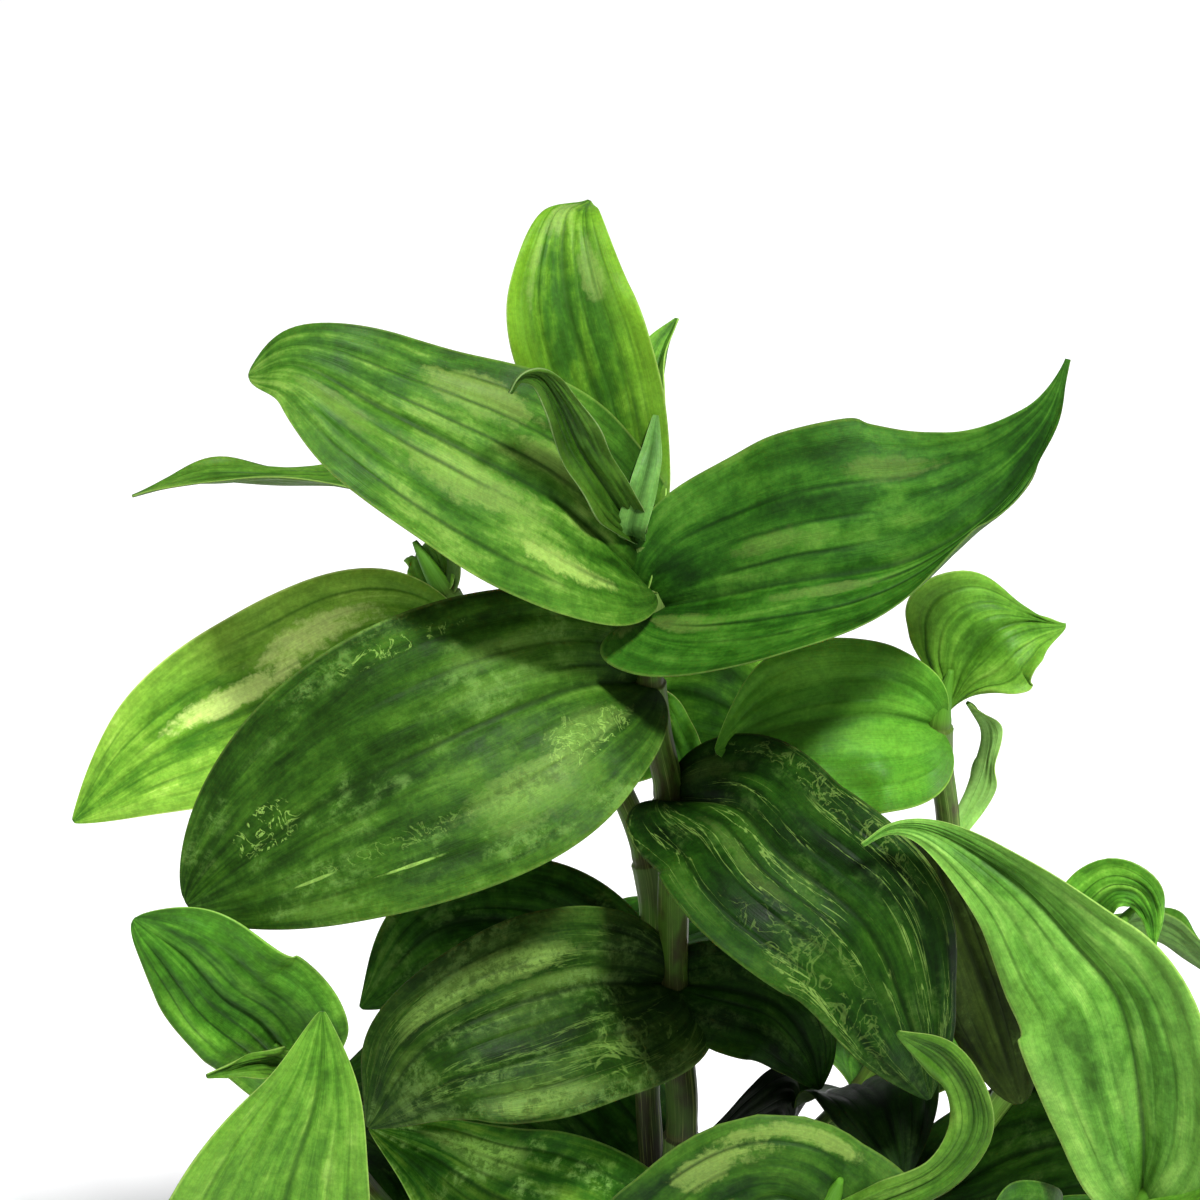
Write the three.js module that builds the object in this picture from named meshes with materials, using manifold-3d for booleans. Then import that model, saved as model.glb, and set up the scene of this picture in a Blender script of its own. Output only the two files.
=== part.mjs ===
// A potted tradescantia: jointed stems with clasping, pointed leaves, rooted in soil in a plain clay pot.
// Millimetres, +Z up. The origin is the middle of the pot's flat underside, and -Y is the plant's front.
import * as THREE from 'three';
import { mergeVertices } from 'three/addons/utils/BufferGeometryUtils.js';
import Module from 'manifold-3d';

const wasm = await Module();
wasm.setup();

// Driving dimensions
const POT_HEIGHT = 105;
const POT_RIM_RADIUS = 60;
const POT_BASE_RADIUS = 42;
const POT_WALL = 4.5;
const RIM_BAND = 19;
const RIM_PROUD = 4;
const POT_SIDES = 36;
const LIP = 1.5;
const FLOOR = 6;
const SOIL_DROP = 10;
const SOIL_LUMP = 1.6;
const SEAT_GAP = 0.3;
const SMOOTHED_AWAY = 0.03;

const STEM_SIDES = 8;
const STEM_DEPTH = 26;
const STEM_TOP_SHARE = 0.8;
const SHEATH_LENGTH = 13;
const SHEATH_PROUD = 0.6;
const SPEAR_END_RADIUS = 0.5;

const BLADE = 0.8;
const LEAF_GRIDS = [
  { upTo: 20, rows: 7, columns: 4 },
  { upTo: 37, rows: 7, columns: 6 },
  { upTo: Infinity, rows: 10, columns: 6 },
];
const RIB_SAMPLES = 80;
const TIP_HALF_WIDTH = 0.5;
const STEM_CLEARANCE = 0.35;
const CLASP_REACH = 0.3;
const ROLL_RADIUS = 2.5;
const ARC_DIVISIONS = 400;
const STEM_SAMPLES = 200;

const INSIDE_TOP_RADIUS = POT_RIM_RADIUS - POT_WALL - LIP;
const INSIDE_FLOOR_RADIUS = POT_BASE_RADIUS - POT_WALL;
const SOIL_TOP = POT_HEIGHT - SOIL_DROP;
const STEM_FOOT = SOIL_TOP - STEM_DEPTH;

const FINISHES = {
  leaf_young: { color: 0x6fb52e, roughness: 0.45, metalness: 0 },
  leaf_mature: { color: 0x3f8a26, roughness: 0.42, metalness: 0 },
  leaf_old: { color: 0x1f4f1c, roughness: 0.48, metalness: 0 },
  stem: { color: 0x5a5a3a, roughness: 0.55, metalness: 0 },
  soil: { color: 0x2b2119, roughness: 0.95, metalness: 0 },
  pot: { color: 0xb5653f, roughness: 0.85, metalness: 0 },
};

// Each stem is a line of nodes, from where it leaves the soil to the top of its rolled newest leaf.
const STEMS = {
  main: {
    radius: 3.3,
    nodes: [
      [-13, -2, 95], [-14, -1, 128], [-9, 0, 166], [-11, 0, 202], [-12, 0, 243],
      [-16.5, 0, 268], [-16, 0, 283], [-16, 1, 287], [-18, 2, 296], [-21, 2, 306],
    ],
  },
  back_left: {
    radius: 2.7,
    nodes: [
      [-12, 12, 95], [-14, 12, 140], [-16, 13, 178], [-16, 15, 220], [-27, 22, 243], [-48, 28, 261],
      [-54, 30, 270], [-60, 33, 280],
    ],
  },
  right: {
    radius: 2.7,
    nodes: [
      [5, 4, 95], [3, 5, 128], [9, 8, 148], [26, 12, 166], [38, 16, 190], [42, 17, 223], [38, 10, 253],
      [40, 12, 264],
    ],
  },
  front_right: {
    radius: 2.8,
    nodes: [
      [20, -14, 95], [36, -26, 125], [56, -40, 160], [72, -50, 190], [78, -54, 200],
    ],
  },
  back_right: {
    radius: 2.6,
    nodes: [
      [24, 14, 95], [44, 24, 130], [62, 30, 160], [76, 34, 186], [84, 37, 196],
    ],
  },
  left: {
    radius: 2.6,
    nodes: [
      [-28, 6, 95], [-54, 6, 124], [-76, -6, 166], [-81, -24, 200], [-84, -30, 210],
    ],
  },
  front_left: {
    radius: 2.6,
    nodes: [
      [-18, -20, 95], [-38, -38, 116], [-62, -54, 134], [-84, -66, 150], [-92, -70, 156],
    ],
  },
  front: {
    radius: 2.6,
    nodes: [
      [4, -24, 95], [6, -40, 124], [10, -52, 158], [15, -57, 193], [17, -59, 202],
    ],
  },
  back: {
    radius: 2.6,
    nodes: [
      [-14, 30, 95], [-24, 42, 130], [-32, 50, 165], [-38, 56, 195], [-40, 58, 206],
    ],
  },
};

// Every leaf grows from node `at` of its stem. `rib` holds the midrib's points past that node, and `face` is
// the way the upper side looks half way along. `half` is the widest reach left and right of the midrib.
// Angles are in degrees: the halves fold up from the midrib by `fold`, bend on by `curl` out to the edges
// and by `roll` more towards the tip. A leaf keeps clear of those that it `clears`, which are cut from it.
const LEAVES = [
  // the main stem, top to bottom
  {
    name: 'leaf_top', age: 'young', stem: 'main', at: 8, face: [0.1, -1, 0.1], half: [11.2, 12],
    rib: [[-25, 9, 318], [-31, 14, 338], [-31, 22, 349], [-27, 33, 348]], broad: [0.52, 0.5],
    blunt: 0.9, taper: [1.6, 0.95], clears: ['leaf_upper_left', 'leaf_upper_right', 'leaf_top_back'],
  },
  {
    name: 'leaf_top_back', age: 'young', stem: 'main', at: 7, face: [-0.7, -1, 0.3], half: [9, 5],
    rib: [[-15, 8, 302], [-15, 18, 316], [-14, 24, 322], [-11, 29, 327]], broad: [0.3, 0.3], fold: 40,
    clears: ['leaf_upper_left', 'leaf_upper_right'],
  },
  {
    name: 'leaf_top_furled', age: 'young', stem: 'main', at: 8, face: [0.1, -0.8, 0.5], half: [4.5, 4],
    rib: [
      [-24, -6, 310], [-28.5, -9, 319], [-32, -12, 329], [-35.5, -15, 335.5], [-38.5, -18, 336.5],
      [-40, -19, 334],
    ],
    lobe: [0, 0], fold: 35, clears: ['leaf_upper_left', 'leaf_upper_right', 'leaf_top'],
  },
  {
    name: 'leaf_upper_left', age: 'mature', stem: 'main', at: 7, face: [0.3, -0.8, 0.8],
    half: [20, 18.5],
    rib: [[-32, -8, 308], [-60, -8, 325], [-77, -5, 333], [-85, -3, 330]], broad: [0.46, 0.35],
    taper: [0.7, 0.7], lobe: [0.02, 0], clears: ['leaf_upper_right'],
  },
  {
    name: 'leaf_upper_right', age: 'mature', stem: 'main', at: 6, face: [-0.1, -0.8, 0.7],
    half: [26, 18],
    rib: [[8, -14, 296], [30, -16, 302], [44.5, -13, 312], [52, -9, 323.5], [54.5, -5, 334]],
    broad: [0.46, 0.3], blunt: 0.38, taper: [1.4, 4], lobe: [0, 0.12], curl: [-8, 20], roll: [0, 200],
    clears: ['leaf_middle_left'],
  },
  {
    name: 'leaf_middle_left', age: 'old', stem: 'main', at: 5, face: [-0.1, -0.9, 0.5],
    half: [26.5, 23],
    rib: [[-29, -12, 274], [-52, -24, 270], [-73, -30, 261], [-98, -30, 240]], broad: [0.4, 0.45],
    blunt: 0.62, taper: [0.62, 0.62], lobe: [0, 0],
  },
  {
    name: 'leaf_middle_right', age: 'old', stem: 'main', at: 4, face: [0.2, -0.9, 0.5], half: [16, 20],
    rib: [[0, -16, 251], [7, -26, 248], [22, -34, 238], [30, -36, 219], [35, -32, 199]],
    lobe: [0, 0.06],
  },
  {
    name: 'leaf_lower_left', age: 'old', stem: 'main', at: 3, face: [-0.1, -0.9, 0.5], half: [22, 15],
    rib: [[-31, -16, 212], [-56, -28, 208], [-68, -26, 188]], broad: [0.42, 0.42], lobe: [0.12, 0],
  },
  {
    name: 'leaf_shaded', age: 'old', stem: 'main', at: 3, face: [0.2, -0.9, 0.5], half: [9, 12],
    rib: [[0, -5, 204], [9, -9, 203], [15, -10, 194], [17, -9, 184]], clears: ['leaf_lower_left'],
  },
  {
    name: 'leaf_low_left', age: 'old', stem: 'main', at: 1, face: [0.1, -0.9, 0.5], half: [17, 17],
    rib: [[-25, -6, 145], [-46, -12, 161], [-59, -14, 173], [-69, -13, 178]],
  },
  {
    name: 'leaf_behind_stem', age: 'mature', stem: 'back_left', at: 4, face: [0.2, -0.9, 0.5],
    half: [14, 14],
    rib: [[-12, 18, 256], [0, 22, 250], [10, 22, 236]],
  },
  // the tall shoot behind, leaning left
  {
    name: 'leaf_far_left_narrow', age: 'young', stem: 'back_left', at: 6, face: [0, 0.2, 1],
    half: [7.5, 7.5],
    rib: [
      [-53, 32, 280], [-58, 34, 288], [-70, 35, 291], [-84, 36, 291.5], [-99, 36, 292],
      [-113, 36, 288],
    ],
    broad: [0.6, 0.6], blunt: 0.9, fold: 15,
  },
  {
    name: 'leaf_far_left_broad', age: 'young', stem: 'back_left', at: 5, face: [0, -0.9, 0.6],
    half: [15, 17],
    rib: [[-66, 22, 265], [-84, 18, 256], [-109, 14, 244], [-125, 12, 231]], broad: [0.55, 0.46],
    blunt: 0.8, lobe: [0, 0],
  },
  {
    name: 'leaf_back_small', age: 'young', stem: 'back_left', at: 6, face: [-0.2, -0.9, 0.5],
    half: [5, 5],
    rib: [[-58, 38, 276], [-60, 46, 270]], clears: ['leaf_far_left_narrow', 'leaf_far_left_broad'],
  },
  {
    name: 'leaf_left_shaded', age: 'old', stem: 'back_left', at: 2, face: [-0.1, -0.9, 0.5],
    half: [18, 13.5],
    rib: [[-28, 9, 201], [-40, 7, 211], [-56, 5, 211], [-71, 2, 195]], broad: [0.55, 0.4],
    lobe: [0, 0],
  },
  {
    name: 'leaf_back_left_low', age: 'old', stem: 'back_left', at: 1, face: [-0.2, -0.3, 0.9],
    half: [19, 19],
    rib: [[-34, 24, 156], [-58, 32, 160], [-84, 36, 148]],
  },
  // the shoot on the right
  {
    name: 'leaf_right_inward', age: 'mature', stem: 'right', at: 6, face: [0, -0.9, 0.5],
    half: [18, 14.5],
    rib: [[26, 4, 259], [16, 2, 259], [7, 0, 258], [-4, -4, 256]], broad: [0.4, 0.58], lobe: [0.08, 0],
    clears: ['leaf_middle_right'],
  },
  {
    name: 'leaf_right_crinkled', age: 'young', stem: 'right', at: 6, face: [-0.3, -0.9, 0.3],
    half: [15.5, 12],
    rib: [[40.5, 12, 258], [43, 13, 265], [48, 14, 271], [54, 16, 272], [61.5, 18, 270]],
    broad: [0.5, 0.5], blunt: 3.5, taper: [4, 0.9], lobe: [0, 0], clears: ['leaf_right_inward'],
  },
  {
    name: 'leaf_right_arched', age: 'young', stem: 'right', at: 5, face: [1, 0.5, 0], half: [3.5, 3.5],
    rib: [[45, 20, 230], [48, 20, 241], [47.5, 19, 248], [44, 17, 254]], fold: 50, clasp: 10,
  },
  {
    name: 'leaf_right_olive', age: 'old', stem: 'right', at: 5, face: [0, -0.9, 0.5], half: [10, 10],
    rib: [[40, 14, 220], [44, 10, 210], [50, 8, 194], [58, 5, 170]], taper: [0.6, 0.6],
  },
  {
    name: 'leaf_right_back', age: 'mature', stem: 'right', at: 3, face: [0.3, 0.3, 0.9], half: [16, 16],
    rib: [[34, 28, 164], [42, 46, 160], [46, 64, 146]],
  },
  {
    name: 'leaf_right_low', age: 'old', stem: 'right', at: 3, face: [0, -0.5, 0.9], half: [14, 14],
    rib: [[26, 0, 178], [29, -14, 184], [32, -27, 176]], clears: ['leaf_right_foot'],
  },
  {
    name: 'leaf_right_foot', age: 'old', stem: 'right', at: 2, face: [0, -0.8, 0.6], half: [9, 9],
    rib: [[11, 0, 172], [5, -8, 176], [-3, -13, 174], [-10, -15, 170]],
  },
  // the shoot at the right front
  {
    name: 'leaf_front_right_long', age: 'young', stem: 'front_right', at: 3, face: [-0.5, -0.9, 0.2],
    half: [18, 15],
    rib: [
      [70, -52, 210], [64, -50, 234], [57, -46, 242], [47, -40, 251], [32, -34, 258], [25.5, -34, 258.5],
      [20.5, -34, 255],
    ],
    broad: [0.4, 0.33], blunt: 0.9, taper: [1.7, 1.7], fold: 20,
  },
  {
    name: 'leaf_front_right_new', age: 'young', stem: 'front_right', at: 3, face: [-0.2, -0.5, 0.9],
    half: [9, 9],
    rib: [[80, -56, 202], [90, -60, 208], [102, -62, 202]], clears: ['leaf_front_right_long'],
  },
  {
    name: 'leaf_front_right_low', age: 'old', stem: 'front_right', at: 2, face: [0.1, -0.7, 0.7],
    half: [15, 15],
    rib: [[52, -52, 176], [44, -62, 186], [36, -76, 182]],
  },
  {
    name: 'leaf_front_right_side', age: 'old', stem: 'front_right', at: 1, face: [0.4, -0.3, 0.9],
    half: [17, 17],
    rib: [[54, -22, 140], [74, -16, 148], [92, -12, 140]],
  },
  // the shoot at the right back
  {
    name: 'leaf_back_right_bent', age: 'mature', stem: 'back_right', at: 3, face: [0, -0.9, 0.4],
    half: [7.5, 3],
    rib: [
      [74, 35, 192], [75, 35, 196], [78.5, 35, 200], [82.5, 34, 200], [85.5, 33, 196],
      [87, 32, 189],
    ],
    broad: [0.3, 0.3], taper: [1.3, 0.9], lobe: [0, 0],
  },
  {
    name: 'leaf_back_right_furled', age: 'mature', stem: 'back_right', at: 3, face: [0.2, 0.3, 0.9],
    half: [6, 6],
    rib: [[80, 40, 186], [90, 42, 184], [101, 44, 175], [110, 46, 164]], fold: 55, clasp: 10,
  },
  {
    name: 'leaf_back_right_broad', age: 'mature', stem: 'back_right', at: 2, face: [0.4, 0.3, 0.9],
    half: [18, 18],
    rib: [[70, 50, 170], [82, 66, 168], [94, 78, 152]],
  },
  {
    name: 'leaf_back_right_low', age: 'old', stem: 'back_right', at: 1, face: [0.3, -0.3, 0.9],
    half: [18, 18],
    rib: [[62, 20, 146], [82, 16, 152], [102, 14, 142]],
  },
  // the shoot on the left
  {
    name: 'leaf_left_round', age: 'mature', stem: 'left', at: 3, face: [-0.3, -0.9, 0.4],
    half: [11, 16],
    rib: [[-86, -34, 217], [-92, -37, 225], [-98, -39, 235], [-106, -39, 243]], broad: [0.4, 0.56],
    taper: [0.65, 0.65], lobe: [0.2, 0],
  },
  {
    name: 'leaf_left_bud', age: 'young', stem: 'left', at: 3, face: [0, -0.8, 0.6], half: [3, 3],
    rib: [[-87, -42, 214], [-94, -48, 216]], fold: 40, clears: ['leaf_left_round'],
  },
  {
    name: 'leaf_left_low', age: 'mature', stem: 'left', at: 2, face: [-0.3, -0.2, 0.9], half: [15, 15],
    rib: [[-90, 4, 158], [-102, 10, 146], [-112, 14, 130]],
  },
  {
    name: 'leaf_left_foot', age: 'old', stem: 'left', at: 1, face: [-0.3, 0.2, 0.9], half: [18, 18],
    rib: [[-60, 22, 138], [-74, 36, 140], [-88, 46, 128]],
  },
  // the shoot at the left front
  {
    name: 'leaf_front_left_tall', age: 'young', stem: 'front_left', at: 3, face: [0.1, -0.9, 0.3],
    half: [22.5, 17],
    rib: [[-84, -70, 178], [-78, -74, 210], [-72, -72, 231], [-71, -68, 244]],
  },
  {
    name: 'leaf_front_left_low', age: 'mature', stem: 'front_left', at: 2, face: [0.1, -0.6, 0.8],
    half: [17, 17],
    rib: [[-58, -72, 146], [-50, -90, 146], [-42, -104, 134]],
  },
  {
    name: 'leaf_front_left_foot', age: 'old', stem: 'front_left', at: 1, face: [0.1, -0.6, 0.8],
    half: [16, 16],
    rib: [[-26, -58, 128], [-16, -76, 128], [-8, -90, 118]],
  },
  // the shoot at the front
  {
    name: 'leaf_front_broad', age: 'mature', stem: 'front', at: 3, face: [0, -0.9, 0.5], half: [14, 16],
    rib: [[5, -58, 197], [-8, -58, 187], [-22, -57, 172], [-34, -54, 154]], broad: [0.32, 0.32],
    lobe: [0.14, 0.25],
  },
  {
    name: 'leaf_front_twisted', age: 'young', stem: 'front', at: 3, face: [0, -0.9, 0.5],
    half: [3.8, 3.2],
    rib: [
      [25, -62, 200], [34.5, -62, 206], [39, -61, 214], [38, -60, 222], [33.5, -60, 229],
      [25.2, -62, 235.5],
    ],
    broad: [0.75, 0.75], blunt: 0.7, clears: ['leaf_front_broad'],
  },
  {
    name: 'leaf_front_low', age: 'old', stem: 'front', at: 2, face: [0.2, -0.6, 0.8], half: [16, 16],
    rib: [[20, -68, 162], [30, -84, 160], [40, -96, 146]],
  },
  // the shoot at the back
  {
    name: 'leaf_back_top', age: 'mature', stem: 'back', at: 3, face: [-0.2, 0.3, 0.9], half: [16, 16],
    rib: [[-50, 66, 208], [-64, 80, 210], [-78, 90, 196]],
  },
  {
    name: 'leaf_back_right_side', age: 'old', stem: 'back', at: 2, face: [0.2, 0.3, 0.9],
    half: [17, 17],
    rib: [[-14, 62, 168], [6, 76, 164], [22, 88, 150]],
  },
  {
    name: 'leaf_back_foot', age: 'old', stem: 'back', at: 1, face: [-0.2, 0.3, 0.9], half: [17, 17],
    rib: [[-40, 56, 144], [-58, 68, 146], [-74, 78, 134]],
  },
  // two small ones on the main stem
  {
    name: 'leaf_top_flap', age: 'young', stem: 'main', at: 8, face: [0.1, -0.9, 0.4], half: [2.2, 2.2],
    rib: [[-19.5, -3.5, 301], [-17.5, -1.5, 308], [-16, 3, 313], [-15.2, 7, 318]], lobe: [0, 0], wave: 0.4,
    clears: ['leaf_top', 'leaf_top_furled', 'leaf_top_back', 'leaf_upper_left', 'leaf_upper_right'],
  },
  {
    name: 'leaf_stem_small', age: 'mature', stem: 'main', at: 5, face: [0.2, -0.9, 0.4], half: [4, 4.5],
    rib: [[-13.5, 4.5, 259], [-10, 6, 249], [-7, 6, 239]], broad: [0.75, 0.75], lobe: [0, 0], wave: 0.3,
    clears: ['leaf_middle_left', 'leaf_middle_right', 'leaf_behind_stem'],
  },
];

// A point in millimetres as a vector.
const vector = ([x, y, z]) => new THREE.Vector3(x, y, z);

// Tangents, normals and sideways directions along a curve, carried without twist from its middle.
function framesAlong(curve, samples, face) {
  const points = curve.getSpacedPoints(samples);
  const tangents = points.map((_, i) => {
    const next = points[Math.min(i + 1, samples)];
    const last = points[Math.max(i - 1, 0)];
    return next.clone().sub(last).normalize();
  });
  const normals = [];
  const middle = Math.round(samples / 2);
  function flatten(normal, i) {
    return normal.clone().addScaledVector(tangents[i], -normal.dot(tangents[i])).normalize();
  }
  normals[middle] = flatten(face, middle);
  for (let i = middle + 1; i <= samples; i++) normals[i] = flatten(normals[i - 1], i);
  for (let i = middle - 1; i >= 0; i--) normals[i] = flatten(normals[i + 1], i);
  return { points, tangents, normals, length: curve.getLength() };
}

// A closed mesh's triangles as a solid, and a solid as a geometry without the slivers that cuts leave.
function toSolid(geometry) {
  const plain = geometry.clone();
  plain.deleteAttribute('normal');
  plain.deleteAttribute('uv');
  const merged = mergeVertices(plain, 1e-4);
  return new wasm.Manifold(new wasm.Mesh({
    numProp: 3,
    vertProperties: merged.attributes.position.array,
    triVerts: new Uint32Array(merged.index.array),
  }));
}

function toGeometry(solid) {
  const bodies = solid.decompose();
  const whole = bodies.reduce((best, body) => (body.volume() > best.volume() ? body : best));
  const mesh = whole.simplify(SMOOTHED_AWAY).getMesh();
  const geometry = new THREE.BufferGeometry();
  geometry.setAttribute('position', new THREE.BufferAttribute(mesh.vertProperties, 3));
  geometry.setIndex(new THREE.BufferAttribute(mesh.triVerts, 1));
  geometry.computeVertexNormals();
  return geometry;
}

function indexedGeometry(vertices, faces) {
  const geometry = new THREE.BufferGeometry();
  const numbers = vertices.flatMap((p) => [p.x, p.y, p.z]);
  geometry.setAttribute('position', new THREE.Float32BufferAttribute(numbers, 3));
  geometry.setIndex(faces.flat());
  return geometry;
}

// A lofted tube through rings of the given radii, closed at both ends.
function tube(rings, sides) {
  const vertices = [];
  const faces = [];
  for (const { centre, across, up, radius } of rings) {
    for (let k = 0; k < sides; k++) {
      const angle = (2 * Math.PI * k) / sides;
      vertices.push(centre.clone()
        .addScaledVector(across, radius * Math.cos(angle))
        .addScaledVector(up, radius * Math.sin(angle)));
    }
  }
  for (let i = 0; i + 1 < rings.length; i++) {
    for (let k = 0; k < sides; k++) {
      const [a, b] = [i * sides + k, i * sides + ((k + 1) % sides)];
      faces.push([a, b, b + sides], [a, b + sides, a + sides]);
    }
  }
  const last = (rings.length - 1) * sides;
  for (let k = 1; k + 1 < sides; k++) {
    faces.push([0, k + 1, k], [last, last + k, last + k + 1]);
  }
  return indexedGeometry(vertices, faces);
}

// A stem with the closed sheath of each leaf round it, `grown` by a clearance where it cuts a hole.
function stemGeometry({ radius, nodes }, grown = 0) {
  const bottom = [nodes[0][0], nodes[0][1], STEM_FOOT];
  const curve = new THREE.CatmullRomCurve3([bottom, ...nodes].map(vector), false, 'centripetal');
  curve.arcLengthDivisions = ARC_DIVISIONS;
  const lengths = curve.getLengths();
  const total = lengths[lengths.length - 1];
  const nodeAt = nodes.map((_, i) => lengths[Math.round(((i + 1) / nodes.length) * ARC_DIVISIONS)]);
  const spearStart = nodeAt[nodes.length - 2];
  const stops = [{ at: 0, proud: 0 }];
  nodeAt.slice(0, -1).forEach((at, i) => {
    const room = i === 0 ? 0 : at - nodeAt[i - 1];
    if (i > 0 && room > SHEATH_LENGTH + 3) {
      stops.push({ at: at - SHEATH_LENGTH, proud: 0 });
    }
    stops.push({ at: at - 1, proud: i ? SHEATH_PROUD : 0 }, { at: at + 1, proud: 0 });
  });
  stops.push({ at: (spearStart + total) / 2, proud: 0 }, { at: total, proud: 0 });
  const frames = framesAlong(curve, STEM_SAMPLES, new THREE.Vector3(0, -1, 0));
  const rings = stops.map(({ at, proud }) => {
    const share = at / total;
    const i = Math.round(share * STEM_SAMPLES);
    const thin = 1 - (1 - STEM_TOP_SHARE) * share;
    const spear = THREE.MathUtils.clamp((at - spearStart) / (total - spearStart), 0, 1);
    const plain = THREE.MathUtils.lerp(radius * thin, SPEAR_END_RADIUS, spear ** 1.5);
    const foot = at === 0 ? -grown : 0;
    return {
      centre: curve.getPointAt(share).addScaledVector(frames.tangents[i], foot),
      across: new THREE.Vector3().crossVectors(frames.normals[i], frames.tangents[i]),
      up: frames.normals[i],
      radius: plain + proud + grown,
    };
  });
  return tube(rings, STEM_SIDES);
}

// Half the blade's width a share u along it: a round base, widest at `broad`, and a drawn-out tip.
function halfWidth(u, side, { half, broad, blunt, taper }) {
  const rise = (1 - (1 - Math.min(u / broad[side], 1)) ** 2) ** blunt;
  const fallen = Math.max(0, (u - broad[side]) / (1 - broad[side]));
  const fall = Math.cos((fallen * Math.PI) / 2) ** taper[side];
  return half[side] * rise * fall + TIP_HALF_WIDTH;
}

const LEAF_HABIT = {
  broad: [0.4, 0.4],
  blunt: 0.5,
  taper: [0.9, 0.9],
  lobe: [0.08, 0.08],
  fold: 12,
  curl: [-8, -8],
  roll: [0, 0],
  clasp: 45,
  wave: 1.2,
  waves: 2.3,
};

// The surface of a leaf as a function of u along it and v across it, -1 to 1. A lobe reaches back past the
// leaf's base, the base funnels round the stem, and the edges ripple. No edge rolls up tighter than
// ROLL_RADIUS.
function leafSurface(row, index) {
  const leaf = { ...LEAF_HABIT, ...row };
  const base = vector(STEMS[leaf.stem].nodes[leaf.at]);
  const curve = new THREE.CatmullRomCurve3([base, ...leaf.rib.map(vector)], false, 'centripetal');
  const { points, tangents, normals, length } = framesAlong(curve, RIB_SAMPLES, vector(leaf.face));
  const radians = THREE.MathUtils.degToRad;

  function frameAt(share) {
    const place = THREE.MathUtils.clamp(share, 0, 1) * RIB_SAMPLES;
    const i = Math.min(Math.floor(place), RIB_SAMPLES - 1);
    const part = place - i;
    const tangent = tangents[i].clone().lerp(tangents[i + 1], part).normalize();
    const normal = normals[i].clone().lerp(normals[i + 1], part).normalize();
    const before = Math.min(share, 0) * length;
    const centre = points[i].clone().lerp(points[i + 1], part).addScaledVector(tangent, before);
    return { centre, normal, right: new THREE.Vector3().crossVectors(tangent, normal) };
  }

  return function place(u, v) {
    const side = v < 0 ? 0 : 1;
    const back = Math.min(u / leaf.broad[side], 1);
    const swell = (27 / 4) * back * (1 - back) ** 2;
    const share = u - leaf.lobe[side] * v * v * swell;
    const { centre, normal, right } = frameAt(share);
    const funnel = leaf.clasp * Math.max(0, 1 - u / CLASP_REACH) ** 2;
    const start = radians(leaf.fold + funnel);
    const reach = Math.abs(v);
    const half = halfWidth(u, side, leaf);
    const bend = Math.min(radians(leaf.curl[side] + leaf.roll[side] * u * u), half / ROLL_RADIUS) || 1e-4;
    const out = (half * (Math.sin(start + bend * reach) - Math.sin(start))) / bend;
    const lift = (half * (Math.cos(start) - Math.cos(start + bend * reach))) / bend;
    const phase = leaf.waves * u + 0.37 * index + 0.21 * Math.sign(v);
    const ripple = leaf.wave * v * v * Math.sin(2 * Math.PI * phase) * Math.min(1, 4 * u, 4 - 4 * u);
    return centre.addScaledVector(right, Math.sign(v) * out).addScaledVector(normal, lift + ripple);
  };
}

// A leaf's blade, with the same diagonals on both faces, and `grown` all round where it is cut from a
// neighbour. The rows lie closer together at both ends.
function bladeGeometry(row, index, grown = 0) {
  const thick = BLADE / 2 + grown;
  const place = leafSurface({ ...row, half: row.half.map((reach) => reach + grown) }, index);
  const { rows, columns } = LEAF_GRIDS.find(({ upTo }) => row.half[0] + row.half[1] < upTo);
  const step = 1e-3;
  const top = [];
  const bottom = [];
  for (let i = 0; i <= rows; i++) {
    const u = 0.5 * (i / rows) + 0.25 * (1 - Math.cos((Math.PI * i) / rows));
    for (let j = 0; j <= columns; j++) {
      const v = (2 * j) / columns - 1;
      const point = place(u, v);
      const along = place(Math.min(u + step, 1), v).sub(place(Math.max(u - step, 0), v));
      const across = place(u, Math.min(v + step, 1)).sub(place(u, Math.max(v - step, -1)));
      const normal = across.cross(along).normalize();
      top.push(point.clone().addScaledVector(normal, thick));
      bottom.push(point.clone().addScaledVector(normal, -thick));
    }
  }
  const wide = columns + 1;
  const under = top.length;
  const faces = [];
  for (let i = 0; i < rows; i++) {
    for (let j = 0; j < columns; j++) {
      const [a, b] = [i * wide + j, i * wide + j + 1];
      const [c, d] = [a + wide, b + wide];
      faces.push([a, b, d], [a, d, c], [under + a, under + d, under + b], [under + a, under + c, under + d]);
    }
    const [left, right] = [i * wide, i * wide + columns];
    faces.push([left, left + wide, under + left + wide], [left, under + left + wide, under + left]);
    faces.push([right + wide, right, under + right], [right + wide, under + right, under + right + wide]);
  }
  const end = rows * wide;
  for (let j = 0; j < columns; j++) {
    faces.push([j + 1, j, under + j], [j + 1, under + j, under + j + 1]);
    faces.push([end + j, end + j + 1, under + end + j + 1], [end + j, under + end + j + 1, under + end + j]);
  }
  return indexedGeometry([...top, ...bottom], faces);
}

// A profile of [radius, height] points turned round the pot's axis.
function turned(profile) {
  const points = profile.map(([r, z]) => new THREE.Vector2(r, z));
  return new THREE.LatheGeometry(points, POT_SIDES).rotateX(Math.PI / 2);
}

// A tapered pot with a plain rim band; its inside is a straight taper from the floor to the lip.
function potGeometry() {
  return turned([
    [0, 0], [POT_BASE_RADIUS - LIP, 0], [POT_BASE_RADIUS, LIP],
    [POT_RIM_RADIUS - RIM_PROUD, POT_HEIGHT - RIM_BAND - 1], [POT_RIM_RADIUS, POT_HEIGHT - RIM_BAND + 1],
    [POT_RIM_RADIUS, POT_HEIGHT - LIP], [POT_RIM_RADIUS - LIP, POT_HEIGHT],
    [INSIDE_TOP_RADIUS, POT_HEIGHT], [INSIDE_FLOOR_RADIUS, FLOOR], [0, FLOOR],
  ]);
}

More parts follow.
